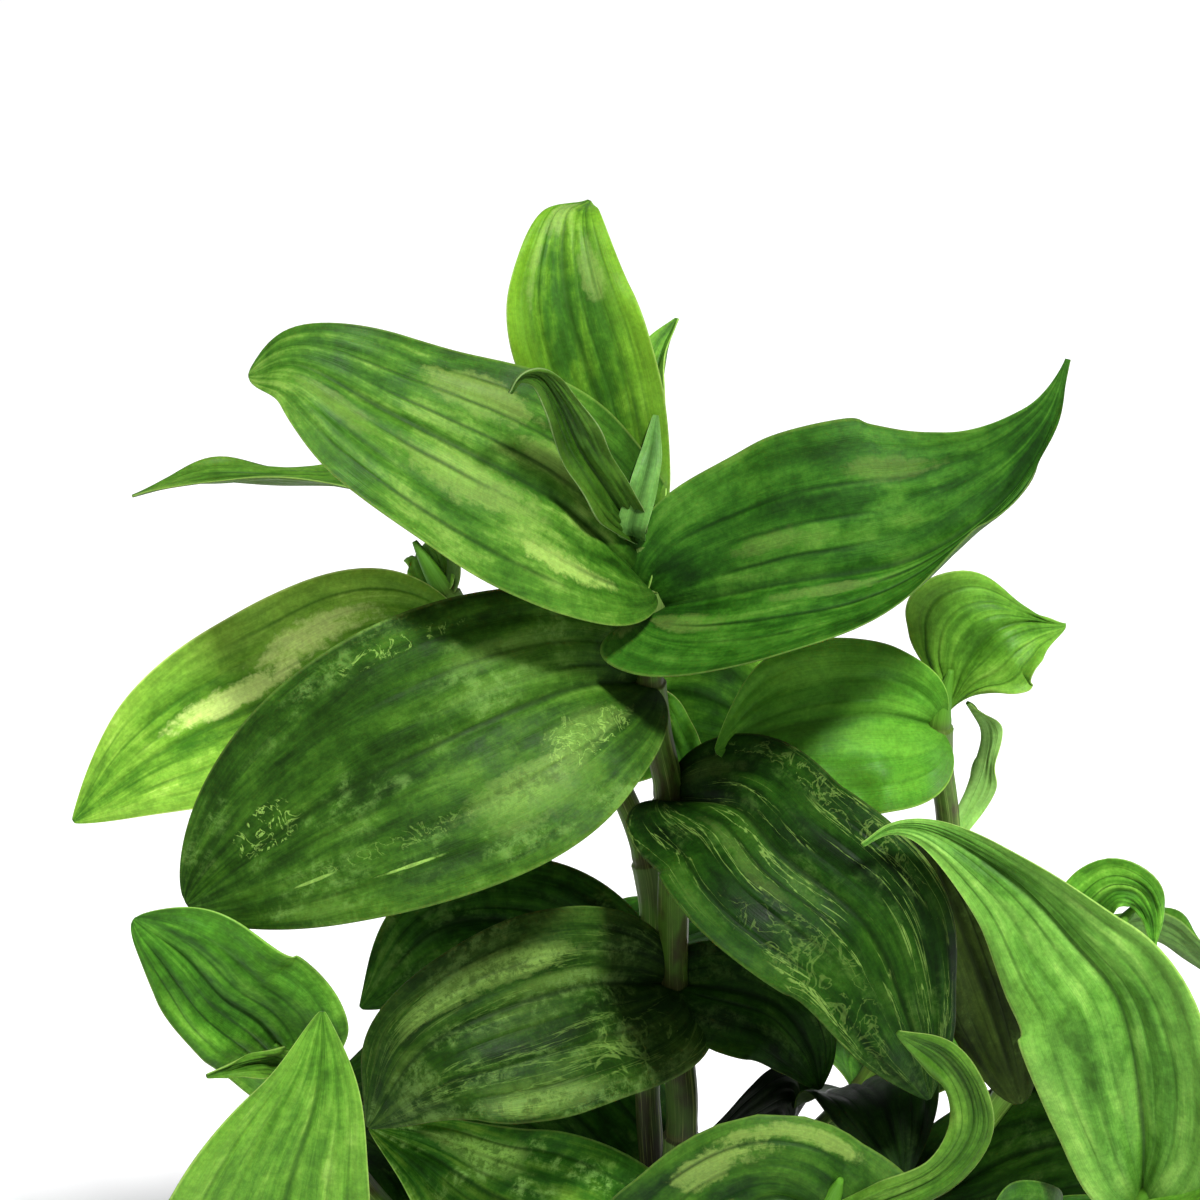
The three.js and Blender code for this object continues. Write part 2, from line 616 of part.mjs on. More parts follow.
// Soil filling the pot, lumpy on top, with a plain hole for every stem.
function soilGeometry() {
  const floor = FLOOR + SEAT_GAP;
  const slope = (INSIDE_TOP_RADIUS - INSIDE_FLOOR_RADIUS) / (POT_HEIGHT - FLOOR);
  const foot = INSIDE_FLOOR_RADIUS - SEAT_GAP;
  const edge = foot + slope * (SOIL_TOP - FLOOR);
  const rings = [0.85, 0.65, 0.4, 0.18].map((share) => [edge * share, SOIL_TOP]);
  const soil = turned([[0, floor], [foot, floor], [edge, SOIL_TOP], ...rings, [0, SOIL_TOP]]);
  const position = soil.attributes.position;
  for (let i = 0; i < position.count; i++) {
    const [x, y, z] = [position.getX(i), position.getY(i), position.getZ(i)];
    const inward = 1 - Math.hypot(x, y) / edge;
    if (z < SOIL_TOP - 1 || inward < 0.01) continue;
    const lump = Math.sin(0.21 * x + 0.4) * Math.cos(0.17 * y) + 0.6 * Math.sin(0.43 * y + 0.31 * x);
    position.setZ(i, z + SOIL_LUMP * lump * Math.min(1, 5 * inward));
  }
  const holes = Object.values(STEMS).map((stem) => toSolid(stemGeometry(stem, STEM_CLEARANCE)));
  return toGeometry(holes.reduce((rest, hole) => rest.subtract(hole), toSolid(soil)));
}

const group = new THREE.Group();

function add(name, geometry, finish) {
  const mesh = new THREE.Mesh(geometry, new THREE.MeshStandardMaterial(FINISHES[finish]));
  mesh.name = name;
  group.add(mesh);
}

add('pot', potGeometry(), 'pot');
add('soil', soilGeometry(), 'soil');
for (const [name, stem] of Object.entries(STEMS)) add(`stem_${name}`, stemGeometry(stem), 'stem');
LEAVES.forEach((row, index) => {
  let blade = toSolid(bladeGeometry(row, index));
  blade = blade.subtract(toSolid(stemGeometry(STEMS[row.stem], STEM_CLEARANCE)));
  for (const name of row.clears ?? []) {
    const other = LEAVES.findIndex((leaf) => leaf.name === name);
    blade = blade.subtract(toSolid(bladeGeometry(LEAVES[other], other, SEAT_GAP)));
  }
  add(row.name, toGeometry(blade), `leaf_${row.age}`);
});

export default group;
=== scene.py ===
# A potted tradescantia dressed over its solids: fine leaves, jointed stems, soil and a clay pot.
# Places and sizes are in millimetres here and become metres in each mesh. +Z is up and -Y is the front.
import math

import bmesh
import bpy
import numpy as np
from mathutils import Euler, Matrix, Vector


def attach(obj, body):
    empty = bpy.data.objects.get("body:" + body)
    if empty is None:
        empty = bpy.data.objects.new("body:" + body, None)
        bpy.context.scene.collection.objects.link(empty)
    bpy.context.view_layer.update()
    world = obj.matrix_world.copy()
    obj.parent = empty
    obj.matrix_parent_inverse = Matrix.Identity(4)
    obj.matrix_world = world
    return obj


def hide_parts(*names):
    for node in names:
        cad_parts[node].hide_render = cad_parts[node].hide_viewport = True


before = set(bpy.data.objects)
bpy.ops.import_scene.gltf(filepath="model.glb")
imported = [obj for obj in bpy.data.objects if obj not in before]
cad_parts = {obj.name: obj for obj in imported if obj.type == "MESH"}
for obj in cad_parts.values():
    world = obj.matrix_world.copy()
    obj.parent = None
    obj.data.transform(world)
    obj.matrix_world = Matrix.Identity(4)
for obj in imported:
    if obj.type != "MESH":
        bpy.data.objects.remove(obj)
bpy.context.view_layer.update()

MM = 0.001

# The camera looks down at the plant from its front. FOCAL_PX is for a square frame of FRAME_PX.
FRAME_PX = 1200
FOCAL_PX = 3136
SENSOR_MM = 36
CAMERA_AIM = (-25, 0, 285)
CAMERA_DISTANCE = 560
CAMERA_ELEVATION = 28

# Pot and soil
POT_HEIGHT = 105
POT_RIM_RADIUS = 60
POT_BASE_RADIUS = 42
POT_WALL = 4.5
RIM_BAND = 19
RIM_PROUD = 4
POT_FLOOR = 6
POT_SIDES = 180
LIP = 1.5
SOIL_TOP = 95
SOIL_LUMP = 1.6
SEAT_GAP = 0.3
SOIL_SIDES = 220
SOIL_RINGS = 64
CRUMBS = 420

# Stems and the closed sheaths round them
STEM_DEPTH = 26
STEM_SIDES = 32
STEM_RING_STEP = 1.0
STEM_TOP_SHARE = 0.8
SHEATH_LENGTH = 13
SHEATH_PROUD = 0.6
SPEAR_END_RADIUS = 0.5
JOINT_SWELL = 0.25
STEM_WOBBLE = 0.03

# Leaves
RIB_SAMPLES = 80
TIP_HALF_WIDTH = 0.5
CLASP_REACH = 0.3
ROLL_RADIUS = 2.5
LOBE_SCALE = 27 / 4
LEAF_PHASE = 0.37
SIDE_PHASE = 0.21
BLADE_MIDDLE = 0.6
BLADE_EDGE = 0.22
CREASE_DEPTH = 0.5
UNEVEN_DEPTH = 0.45
KEEL_DEPTH = 0.45
KEEL_WIDTH = 1.1
WIDE_LEAF = 20
WIDE_GRID = (90, 52)
NARROW_GRID = (64, 28)

# A blade's pattern is stretched by its size against this, and its noises have these scales per metre.
USUAL_LENGTH = 50
USUAL_HALF_WIDTH = 16
CLOUD_SCALE = 42.0
PATCH_SCALE = 110.0
FLECK_SCALE = 420.0
GRAIN_SCALE = 1500.0

# The seeds of the random draws, the first two with a leaf's or stem's number added
LEAF_SEED = 100
STEM_SEED = 500
POT_SEED = 31
SOIL_SEED = 77
LUMP_SEED = 78
CRUMB_SEED = 90

# The studio: each light is azimuth, elevation, distance, size and power in watts
PLANT_MIDDLE = (-20, 0, 230)
KEY_LIGHT = (32, 60, 3000, 380, 168)
FILL_LIGHT = (-60, 35, 2500, 1500, 16)
SKY_WHITE = (250, 252, 255)
SKY_STRENGTH = 0.3
FLOOR_WHITE = (250, 250, 250)
FLOOR_REACH = 6

# Each stem is a radius and a line of nodes, from where it leaves the soil to its rolled newest leaf.
STEMS = {
    "main": (3.3, [
        (-13, -2, 95), (-14, -1, 128), (-9, 0, 166), (-11, 0, 202), (-12, 0, 243), (-16.5, 0, 268),
        (-16, 0, 283), (-16, 1, 287), (-18, 2, 296), (-21, 2, 306),
    ]),
    "back_left": (2.7, [
        (-12, 12, 95), (-14, 12, 140), (-16, 13, 178), (-16, 15, 220), (-27, 22, 243),
        (-48, 28, 261), (-54, 30, 270), (-60, 33, 280),
    ]),
    "right": (2.7, [
        (5, 4, 95), (3, 5, 128), (9, 8, 148), (26, 12, 166), (38, 16, 190), (42, 17, 223),
        (38, 10, 253), (40, 12, 264),
    ]),
    "front_right": (2.8, [
        (20, -14, 95), (36, -26, 125), (56, -40, 160), (72, -50, 190), (78, -54, 200),
    ]),
    "back_right": (2.6, [
        (24, 14, 95), (44, 24, 130), (62, 30, 160), (76, 34, 186), (84, 37, 196),
    ]),
    "left": (2.6, [
        (-28, 6, 95), (-54, 6, 124), (-76, -6, 166), (-81, -24, 200), (-84, -30, 210),
    ]),
    "front_left": (2.6, [
        (-18, -20, 95), (-38, -38, 116), (-62, -54, 134), (-84, -66, 150), (-92, -70, 156),
    ]),
    "front": (2.6, [
        (4, -24, 95), (6, -40, 124), (10, -52, 158), (15, -57, 193), (17, -59, 202),
    ]),
    "back": (2.6, [
        (-14, 30, 95), (-24, 42, 130), (-32, 50, 165), (-38, 56, 195), (-40, 58, 206),
    ]),
}


def grow(name, age, stem, at, face, half, rib, **habit):
    """A leaf from node `at` of a stem: the way its middle faces, its half widths and its midrib."""
    return dict(name=name, age=age, stem=stem, at=at, face=face, half=half, rib=rib, **habit)


LEAVES = [
    # the main stem, top to bottom
    grow("top", "young", "main", 8, (0.1, -1, 0.1), (11.2, 12),
         [(-25, 9, 318), (-31, 14, 338), (-31, 22, 349), (-27, 33, 348)],
         broad=(0.52, 0.5), blunt=0.9, taper=(1.6, 0.95)),
    grow("top_back", "young", "main", 7, (-0.7, -1, 0.3), (9, 5),
         [(-15, 8, 302), (-15, 18, 316), (-14, 24, 322), (-11, 29, 327)], broad=(0.3, 0.3), fold=40),
    grow("top_furled", "young", "main", 8, (0.1, -0.8, 0.5), (4.5, 4),
         [(-24, -6, 310), (-28.5, -9, 319), (-32, -12, 329), (-35.5, -15, 335.5),
          (-38.5, -18, 336.5), (-40, -19, 334)], lobe=(0, 0), fold=35),
    grow("upper_left", "mature", "main", 7, (0.3, -0.8, 0.8), (20, 18.5),
         [(-32, -8, 308), (-60, -8, 325), (-77, -5, 333), (-85, -3, 330)],
         broad=(0.46, 0.35), taper=(0.7, 0.7), lobe=(0.02, 0)),
    grow("upper_right", "mature", "main", 6, (-0.1, -0.8, 0.7), (26, 18),
         [(8, -14, 296), (30, -16, 302), (44.5, -13, 312), (52, -9, 323.5), (54.5, -5, 334)],
         broad=(0.46, 0.3), blunt=0.38, taper=(1.4, 4), lobe=(0, 0.12), curl=(-8, 20), roll=(0, 200)),
    grow("middle_left", "old", "main", 5, (-0.1, -0.9, 0.5), (26.5, 23),
         [(-29, -12, 274), (-52, -24, 270), (-73, -30, 261), (-98, -30, 240)],
         broad=(0.4, 0.45), blunt=0.62, taper=(0.62, 0.62), lobe=(0, 0)),
    grow("middle_right", "old", "main", 4, (0.2, -0.9, 0.5), (16, 20),
         [(0, -16, 251), (7, -26, 248), (22, -34, 238), (30, -36, 219), (35, -32, 199)],
         lobe=(0, 0.06)),
    grow("lower_left", "old", "main", 3, (-0.1, -0.9, 0.5), (22, 15),
         [(-31, -16, 212), (-56, -28, 208), (-68, -26, 188)], broad=(0.42, 0.42), lobe=(0.12, 0)),
    grow("shaded", "old", "main", 3, (0.2, -0.9, 0.5), (9, 12),
         [(0, -5, 204), (9, -9, 203), (15, -10, 194), (17, -9, 184)]),
    grow("low_left", "old", "main", 1, (0.1, -0.9, 0.5), (17, 17),
         [(-25, -6, 145), (-46, -12, 161), (-59, -14, 173), (-69, -13, 178)]),
    grow("behind_stem", "mature", "back_left", 4, (0.2, -0.9, 0.5), (14, 14),
         [(-12, 18, 256), (0, 22, 250), (10, 22, 236)]),
    # the tall shoot behind, leaning left
    grow("far_left_narrow", "young", "back_left", 6, (0, 0.2, 1), (7.5, 7.5),
         [(-53, 32, 280), (-58, 34, 288), (-70, 35, 291), (-84, 36, 291.5), (-99, 36, 292),
          (-113, 36, 288)], broad=(0.6, 0.6), blunt=0.9, fold=15),
    grow("far_left_broad", "young", "back_left", 5, (0, -0.9, 0.6), (15, 17),
         [(-66, 22, 265), (-84, 18, 256), (-109, 14, 244), (-125, 12, 231)],
         broad=(0.55, 0.46), blunt=0.8, lobe=(0, 0)),
    grow("back_small", "young", "back_left", 6, (-0.2, -0.9, 0.5), (5, 5),
         [(-58, 38, 276), (-60, 46, 270)]),
    grow("left_shaded", "old", "back_left", 2, (-0.1, -0.9, 0.5), (18, 13.5),
         [(-28, 9, 201), (-40, 7, 211), (-56, 5, 211), (-71, 2, 195)], broad=(0.55, 0.4), lobe=(0, 0)),
    grow("back_left_low", "old", "back_left", 1, (-0.2, -0.3, 0.9), (19, 19),
         [(-34, 24, 156), (-58, 32, 160), (-84, 36, 148)]),
    # the shoot on the right
    grow("right_inward", "mature", "right", 6, (0, -0.9, 0.5), (18, 14.5),
         [(26, 4, 259), (16, 2, 259), (7, 0, 258), (-4, -4, 256)], broad=(0.4, 0.58), lobe=(0.08, 0)),
    grow("right_crinkled", "young", "right", 6, (-0.3, -0.9, 0.3), (15.5, 12),
         [(40.5, 12, 258), (43, 13, 265), (48, 14, 271), (54, 16, 272), (61.5, 18, 270)],
         broad=(0.5, 0.5), blunt=3.5, taper=(4, 0.9), lobe=(0, 0)),
    grow("right_arched", "young", "right", 5, (1, 0.5, 0), (3.5, 3.5),
         [(45, 20, 230), (48, 20, 241), (47.5, 19, 248), (44, 17, 254)], fold=50, clasp=10),
    grow("right_olive", "old", "right", 5, (0, -0.9, 0.5), (10, 10),
         [(40, 14, 220), (44, 10, 210), (50, 8, 194), (58, 5, 170)], taper=(0.6, 0.6)),
    grow("right_back", "mature", "right", 3, (0.3, 0.3, 0.9), (16, 16),
         [(34, 28, 164), (42, 46, 160), (46, 64, 146)]),
    grow("right_low", "old", "right", 3, (0, -0.5, 0.9), (14, 14),
         [(26, 0, 178), (29, -14, 184), (32, -27, 176)]),
    grow("right_foot", "old", "right", 2, (0, -0.8, 0.6), (9, 9),
         [(11, 0, 172), (5, -8, 176), (-3, -13, 174), (-10, -15, 170)]),
    # the shoot at the right front
    grow("front_right_long", "young", "front_right", 3, (-0.5, -0.9, 0.2), (18, 15),
         [(70, -52, 210), (64, -50, 234), (57, -46, 242), (47, -40, 251), (32, -34, 258),
          (25.5, -34, 258.5), (20.5, -34, 255)],
         broad=(0.4, 0.33), blunt=0.9, taper=(1.7, 1.7), fold=20),
    grow("front_right_new", "young", "front_right", 3, (-0.2, -0.5, 0.9), (9, 9),
         [(80, -56, 202), (90, -60, 208), (102, -62, 202)]),
    grow("front_right_low", "old", "front_right", 2, (0.1, -0.7, 0.7), (15, 15),
         [(52, -52, 176), (44, -62, 186), (36, -76, 182)]),
    grow("front_right_side", "old", "front_right", 1, (0.4, -0.3, 0.9), (17, 17),
         [(54, -22, 140), (74, -16, 148), (92, -12, 140)]),
    # the shoot at the right back
    grow("back_right_bent", "mature", "back_right", 3, (0, -0.9, 0.4), (7.5, 3),
         [(74, 35, 192), (75, 35, 196), (78.5, 35, 200), (82.5, 34, 200), (85.5, 33, 196),
          (87, 32, 189)], broad=(0.3, 0.3), taper=(1.3, 0.9), lobe=(0, 0)),
    grow("back_right_furled", "mature", "back_right", 3, (0.2, 0.3, 0.9), (6, 6),
         [(80, 40, 186), (90, 42, 184), (101, 44, 175), (110, 46, 164)], fold=55, clasp=10),
    grow("back_right_broad", "mature", "back_right", 2, (0.4, 0.3, 0.9), (18, 18),
         [(70, 50, 170), (82, 66, 168), (94, 78, 152)]),
    grow("back_right_low", "old", "back_right", 1, (0.3, -0.3, 0.9), (18, 18),
         [(62, 20, 146), (82, 16, 152), (102, 14, 142)]),
    # the shoot on the left
    grow("left_round", "mature", "left", 3, (-0.3, -0.9, 0.4), (11, 16),
         [(-86, -34, 217), (-92, -37, 225), (-98, -39, 235), (-106, -39, 243)],
         broad=(0.4, 0.56), taper=(0.65, 0.65), lobe=(0.2, 0)),
    grow("left_bud", "young", "left", 3, (0, -0.8, 0.6), (3, 3),
         [(-87, -42, 214), (-94, -48, 216)], fold=40),
    grow("left_low", "mature", "left", 2, (-0.3, -0.2, 0.9), (15, 15),
         [(-90, 4, 158), (-102, 10, 146), (-112, 14, 130)]),
    grow("left_foot", "old", "left", 1, (-0.3, 0.2, 0.9), (18, 18),
         [(-60, 22, 138), (-74, 36, 140), (-88, 46, 128)]),
    # the shoot at the left front
    grow("front_left_tall", "young", "front_left", 3, (0.1, -0.9, 0.3), (22.5, 17),
         [(-84, -70, 178), (-78, -74, 210), (-72, -72, 231), (-71, -68, 244)]),
    grow("front_left_low", "mature", "front_left", 2, (0.1, -0.6, 0.8), (17, 17),
         [(-58, -72, 146), (-50, -90, 146), (-42, -104, 134)]),
    grow("front_left_foot", "old", "front_left", 1, (0.1, -0.6, 0.8), (16, 16),
         [(-26, -58, 128), (-16, -76, 128), (-8, -90, 118)]),
    # the shoot at the front
    grow("front_broad", "mature", "front", 3, (0, -0.9, 0.5), (14, 16),
         [(5, -58, 197), (-8, -58, 187), (-22, -57, 172), (-34, -54, 154)],
         broad=(0.32, 0.32), lobe=(0.14, 0.25)),
    grow("front_twisted", "young", "front", 3, (0, -0.9, 0.5), (3.8, 3.2),
         [(25, -62, 200), (34.5, -62, 206), (39, -61, 214), (38, -60, 222), (33.5, -60, 229),
          (25.2, -62, 235.5)], broad=(0.75, 0.75), blunt=0.7),
    grow("front_low", "old", "front", 2, (0.2, -0.6, 0.8), (16, 16),
         [(20, -68, 162), (30, -84, 160), (40, -96, 146)]),
    # the shoot at the back
    grow("back_top", "mature", "back", 3, (-0.2, 0.3, 0.9), (16, 16),
         [(-50, 66, 208), (-64, 80, 210), (-78, 90, 196)]),
    grow("back_right_side", "old", "back", 2, (0.2, 0.3, 0.9), (17, 17),
         [(-14, 62, 168), (6, 76, 164), (22, 88, 150)]),
    grow("back_foot", "old", "back", 1, (-0.2, 0.3, 0.9), (17, 17),
         [(-40, 56, 144), (-58, 68, 146), (-74, 78, 134)]),
    # two small ones on the main stem
    grow("top_flap", "young", "main", 8, (0.1, -0.9, 0.4), (2.2, 2.2),
         [(-19.5, -3.5, 301), (-17.5, -1.5, 308), (-16, 3, 313), (-15.2, 7, 318)],
         lobe=(0, 0), wave=0.4),
    grow("stem_small", "mature", "main", 5, (0.2, -0.9, 0.4), (4, 4.5),
         [(-13.5, 4.5, 259), (-10, 6, 249), (-7, 6, 239)], broad=(0.75, 0.75), lobe=(0, 0), wave=0.3),
]

LEAF_HABIT = dict(
    broad=(0.4, 0.4), blunt=0.5, taper=(0.9, 0.9), lobe=(0.08, 0.08), fold=12, curl=(-8, -8), roll=(0, 0),
    clasp=45, wave=1.2, waves=2.3,
)


def unit(vectors):
    return vectors / np.maximum(np.linalg.norm(vectors, axis=-1, keepdims=True), 1e-12)


def smooth(value, low, high):
    """A smooth step from 0 at low to 1 at high."""
    t = np.clip((value - low) / (high - low), 0, 1)
    return t * t * (3 - 2 * t)


def curve_through(points, steps=60):
    """A dense centripetal curve through the points, and how far along it each point lies."""
    points = np.asarray(points, float)
    knots = np.vstack([2 * points[0] - points[1], points, 2 * points[-1] - points[-2]])
    t = np.linspace(0, 1, steps, endpoint=False)[:, None]
    dense = []
    for a, b, c, d in zip(knots, knots[1:], knots[2:], knots[3:]):
        before, here, after = [np.linalg.norm(q - p) ** 0.5 for p, q in ((a, b), (b, c), (c, d))]
        leave = ((b - a) / before - (c - a) / (before + here) + (c - b) / here) * here
        reach = ((c - b) / here - (d - b) / (here + after) + (d - c) / after) * here
        dense.append(
            (2 * t**3 - 3 * t**2 + 1) * b + (t**3 - 2 * t**2 + t) * leave
            + (3 * t**2 - 2 * t**3) * c + (t**3 - t**2) * reach
        )
    dense = np.vstack(dense + [points[-1:]])
    along = np.concatenate([[0], np.cumsum(np.linalg.norm(np.diff(dense, axis=0), axis=1))])
    return dense, along, along[:: steps]


def spaced_points(dense, along, stops):
    """The points of a dense curve at given lengths along it."""
    return np.column_stack([np.interp(stops, along, dense[:, axis]) for axis in range(3)])


def frames_along(points, face):
    """Tangents and normals along the points, carried without twist from the middle one."""
    tangents = unit(np.gradient(points, axis=0))
    normals = np.empty_like(points)
    middle = (len(points) - 1) // 2

    def flatten(normal, i):
        return unit(normal - tangents[i] * (normal @ tangents[i]))

    normals[middle] = flatten(np.asarray(face, float), middle)
    for i in range(middle + 1, len(points)):
        normals[i] = flatten(normals[i - 1], i)
    for i in range(middle - 1, -1, -1):
        normals[i] = flatten(normals[i + 1], i)
    return tangents, normals


def ripples(rng, u, v, count, finest):
    """A smooth random field over u and v, about -1 to 1."""
    field = np.zeros(np.broadcast(u, v).shape)
    for _ in range(count):
        along, across = rng.uniform(0.3, finest), rng.uniform(-finest, finest) / 2
        field = field + np.sin(2 * math.pi * (along * u + across * v + rng.random())) / count**0.5
    return field


def half_width(leaf, u, broad, half, taper):
    """A leaf's half width at each u: a blunt rise to the broadest place, then a taper to the tip."""
    rise = (1 - (1 - np.minimum(u / broad, 1)) ** 2) ** leaf["blunt"]
    fallen = np.maximum(0, (u - broad) / (1 - broad))
    return half * rise * np.cos(fallen * math.pi / 2) ** taper + TIP_HALF_WIDTH


def leaf_surface(leaf, index, u, v):
    """The middle surface of a leaf: points at each share u along it and each v across it, -1 to 1."""
    base = STEMS[leaf["stem"]][1][leaf["at"]]
    dense, along, _ = curve_through([base] + leaf["rib"])
    length = along[-1]
    points = spaced_points(dense, along, np.linspace(0, length, RIB_SAMPLES + 1))
    tangents, normals = frames_along(points, leaf["face"])
    u, v = np.meshgrid(u, v, indexing="ij")
    right_side = v >= 0

    def sided(key):
        return np.where(right_side, leaf[key][1], leaf[key][0])

    broad = sided("broad")
    back = np.minimum(u / broad, 1)
    share = u - sided("lobe") * v * v * LOBE_SCALE * back * (1 - back) ** 2
    place = np.clip(share, 0, 1) * RIB_SAMPLES
    i = np.minimum(place.astype(int), RIB_SAMPLES - 1)
    part = (place - i)[..., None]

    def between(rows):
        return rows[i] * (1 - part) + rows[i + 1] * part

    tangent = unit(between(tangents))
    normal = unit(between(normals))
    centre = between(points) + tangent * (np.minimum(share, 0) * length)[..., None]
    right = np.cross(tangent, normal)
    funnel = leaf["clasp"] * np.maximum(0, 1 - u / CLASP_REACH) ** 2
    start = np.radians(leaf["fold"] + funnel)
    reach = np.abs(v)
    half = half_width(leaf, u, broad, sided("half"), sided("taper"))
    bend = np.minimum(np.radians(sided("curl") + sided("roll") * u * u), half / ROLL_RADIUS)
    bend = np.where(np.abs(bend) < 1e-6, 1e-4, bend)
    out = half * (np.sin(start + bend * reach) - np.sin(start)) / bend
    lift = half * (np.cos(start) - np.cos(start + bend * reach)) / bend
    phase = leaf["waves"] * u + LEAF_PHASE * index + SIDE_PHASE * np.sign(v)
    ripple = leaf["wave"] * v * v * np.sin(2 * math.pi * phase) * np.minimum(1, 4 * np.minimum(u, 1 - u))
    surface = centre + right * (np.sign(v) * out)[..., None] + normal * (lift + ripple)[..., None]
    return surface, half, length


def grid_normals(surface):
    """The unit normal of the surface at each point of its grid."""
    across = np.gradient(surface, axis=1)
    along = np.gradient(surface, axis=0)
    return unit(np.cross(across, along))


def new_piece(name, vertices, faces, node, materials, uvs=None, face_materials=None):
    """A smooth mesh object, given in millimetres, that stands for a CAD node."""
    mesh = bpy.data.meshes.new(name)
    mesh.from_pydata((np.asarray(vertices) * MM).tolist(), [], faces)
    mesh.polygons.foreach_set("use_smooth", [True] * len(mesh.polygons))
    if uvs is not None:
        corners = np.empty(len(mesh.loops), int)
        mesh.loops.foreach_get("vertex_index", corners)
        layer = mesh.uv_layers.new(name="surface")
        layer.data.foreach_set("uv", np.asarray(uvs, float)[corners].ravel())
    for material in materials:
        mesh.materials.append(material)
    if face_materials is not None:
        mesh.polygons.foreach_set("material_index", face_materials)
    mesh.update()
    piece = bpy.data.objects.new(name, mesh)
    bpy.context.collection.objects.link(piece)
    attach(piece, "root")
    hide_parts(node)
    return piece


def leaf_piece(row, index):
    """A thin blade with its midrib keel, its lengthwise creases, a soft unevenness and a rounded margin."""
    leaf = {**LEAF_HABIT, **row}
    look = {**LOOKS[row["age"]], **LEAF_LOOKS.get(row["name"], {})}
    rng = np.random.default_rng(LEAF_SEED + index)
    rows, columns = WIDE_GRID if sum(leaf["half"]) > WIDE_LEAF else NARROW_GRID
    steps = np.linspace(0, 1, rows + 1)
    u = 0.35 * steps + 0.65 * (1 - np.cos(math.pi * steps)) / 2
    v = np.linspace(-1, 1, columns + 1)
    surface, half, length = leaf_surface(leaf, index, u, v)
    normals = grid_normals(surface)
    uu, vv = np.meshgrid(u, v, indexing="ij")
    reach = np.abs(vv)
    ends = smooth(uu, 0.02, 0.2) * (1 - smooth(uu, 0.8, 1))
    creases = np.abs(np.sin(math.pi * look["creases"] * reach)) ** 0.6
    fading = 0.75 + 0.35 * ripples(rng, uu, vv, 5, 2.2)
    relief = -CREASE_DEPTH * look["relief"] * (1 - creases) * ends * fading * (1 - smooth(reach, 0.8, 1))
    uneven = UNEVEN_DEPTH * look["uneven"] * ripples(rng, uu, vv, 7, 3.4) * ends * (0.35 + reach)
    keel = np.exp(-((vv * half) / KEEL_WIDTH) ** 2) * (1 - smooth(uu, 0.7, 1))
    middle = surface + normals * (relief + uneven)[..., None]
    thick = (BLADE_EDGE + (BLADE_MIDDLE - BLADE_EDGE) * (1 - reach**2)) / 2
    top = middle + normals * (thick - 0.5 * KEEL_DEPTH * keel)[..., None]
    bottom = middle - normals * (thick + KEEL_DEPTH * keel)[..., None]

    wide = columns + 1
    count = (rows + 1) * wide
    grid = np.arange(count).reshape(rows + 1, wide)
    a, b, c, d = grid[:-1, :-1], grid[:-1, 1:], grid[1:, 1:], grid[1:, :-1]
    upper = np.stack([a, b, c, d], axis=-1).reshape(-1, 4)
    lower = np.stack([a, d, c, b], axis=-1).reshape(-1, 4) + count
    rim = np.concatenate([grid[0, :-1], grid[:-1, -1], grid[-1, :0:-1], grid[:0:-1, 0]])
    following = np.roll(rim, -1)
    edge = np.stack([rim, rim + count, following + count, following], axis=-1)
    faces = np.concatenate([upper, lower, edge])
    which = [0] * len(upper) + [1] * len(lower) + [0] * len(edge)
    uv = np.stack([uu, (vv + 1) / 2], axis=-1).reshape(-1, 2)
    node = f"leaf_{row['name']}"
    materials = [
        blade_material(f"{node}_upper", look, index, length, half.max(), False),
        blade_material(f"{node}_under", look, index, length, half.max(), True),
    ]
    vertices = np.concatenate([top.reshape(-1, 3), bottom.reshape(-1, 3)])
    return new_piece(f"{node}_blade", vertices, faces.tolist(), node, materials,
                     np.concatenate([uv, uv]), which)


def loft(rings):
    """Vertices and quads of a closed tube through rings of points, with a fan at each end."""
    rings = np.asarray(rings)
    count, sides = rings.shape[:2]
    grid = np.arange(count * sides).reshape(count, sides)
    beside = np.roll(grid, -1, axis=1)
    faces = np.stack([grid[:-1], beside[:-1], beside[1:], grid[1:]], axis=-1).reshape(-1, 4).tolist()
    ends = np.stack([rings[0].mean(axis=0), rings[-1].mean(axis=0)])
    first, last = count * sides, count * sides + 1
    faces += [[first, beside[0, k], grid[0, k]] for k in range(sides)]
    faces += [[last, grid[-1, k], beside[-1, k]] for k in range(sides)]
    return np.concatenate([rings.reshape(-1, 3), ends]), faces


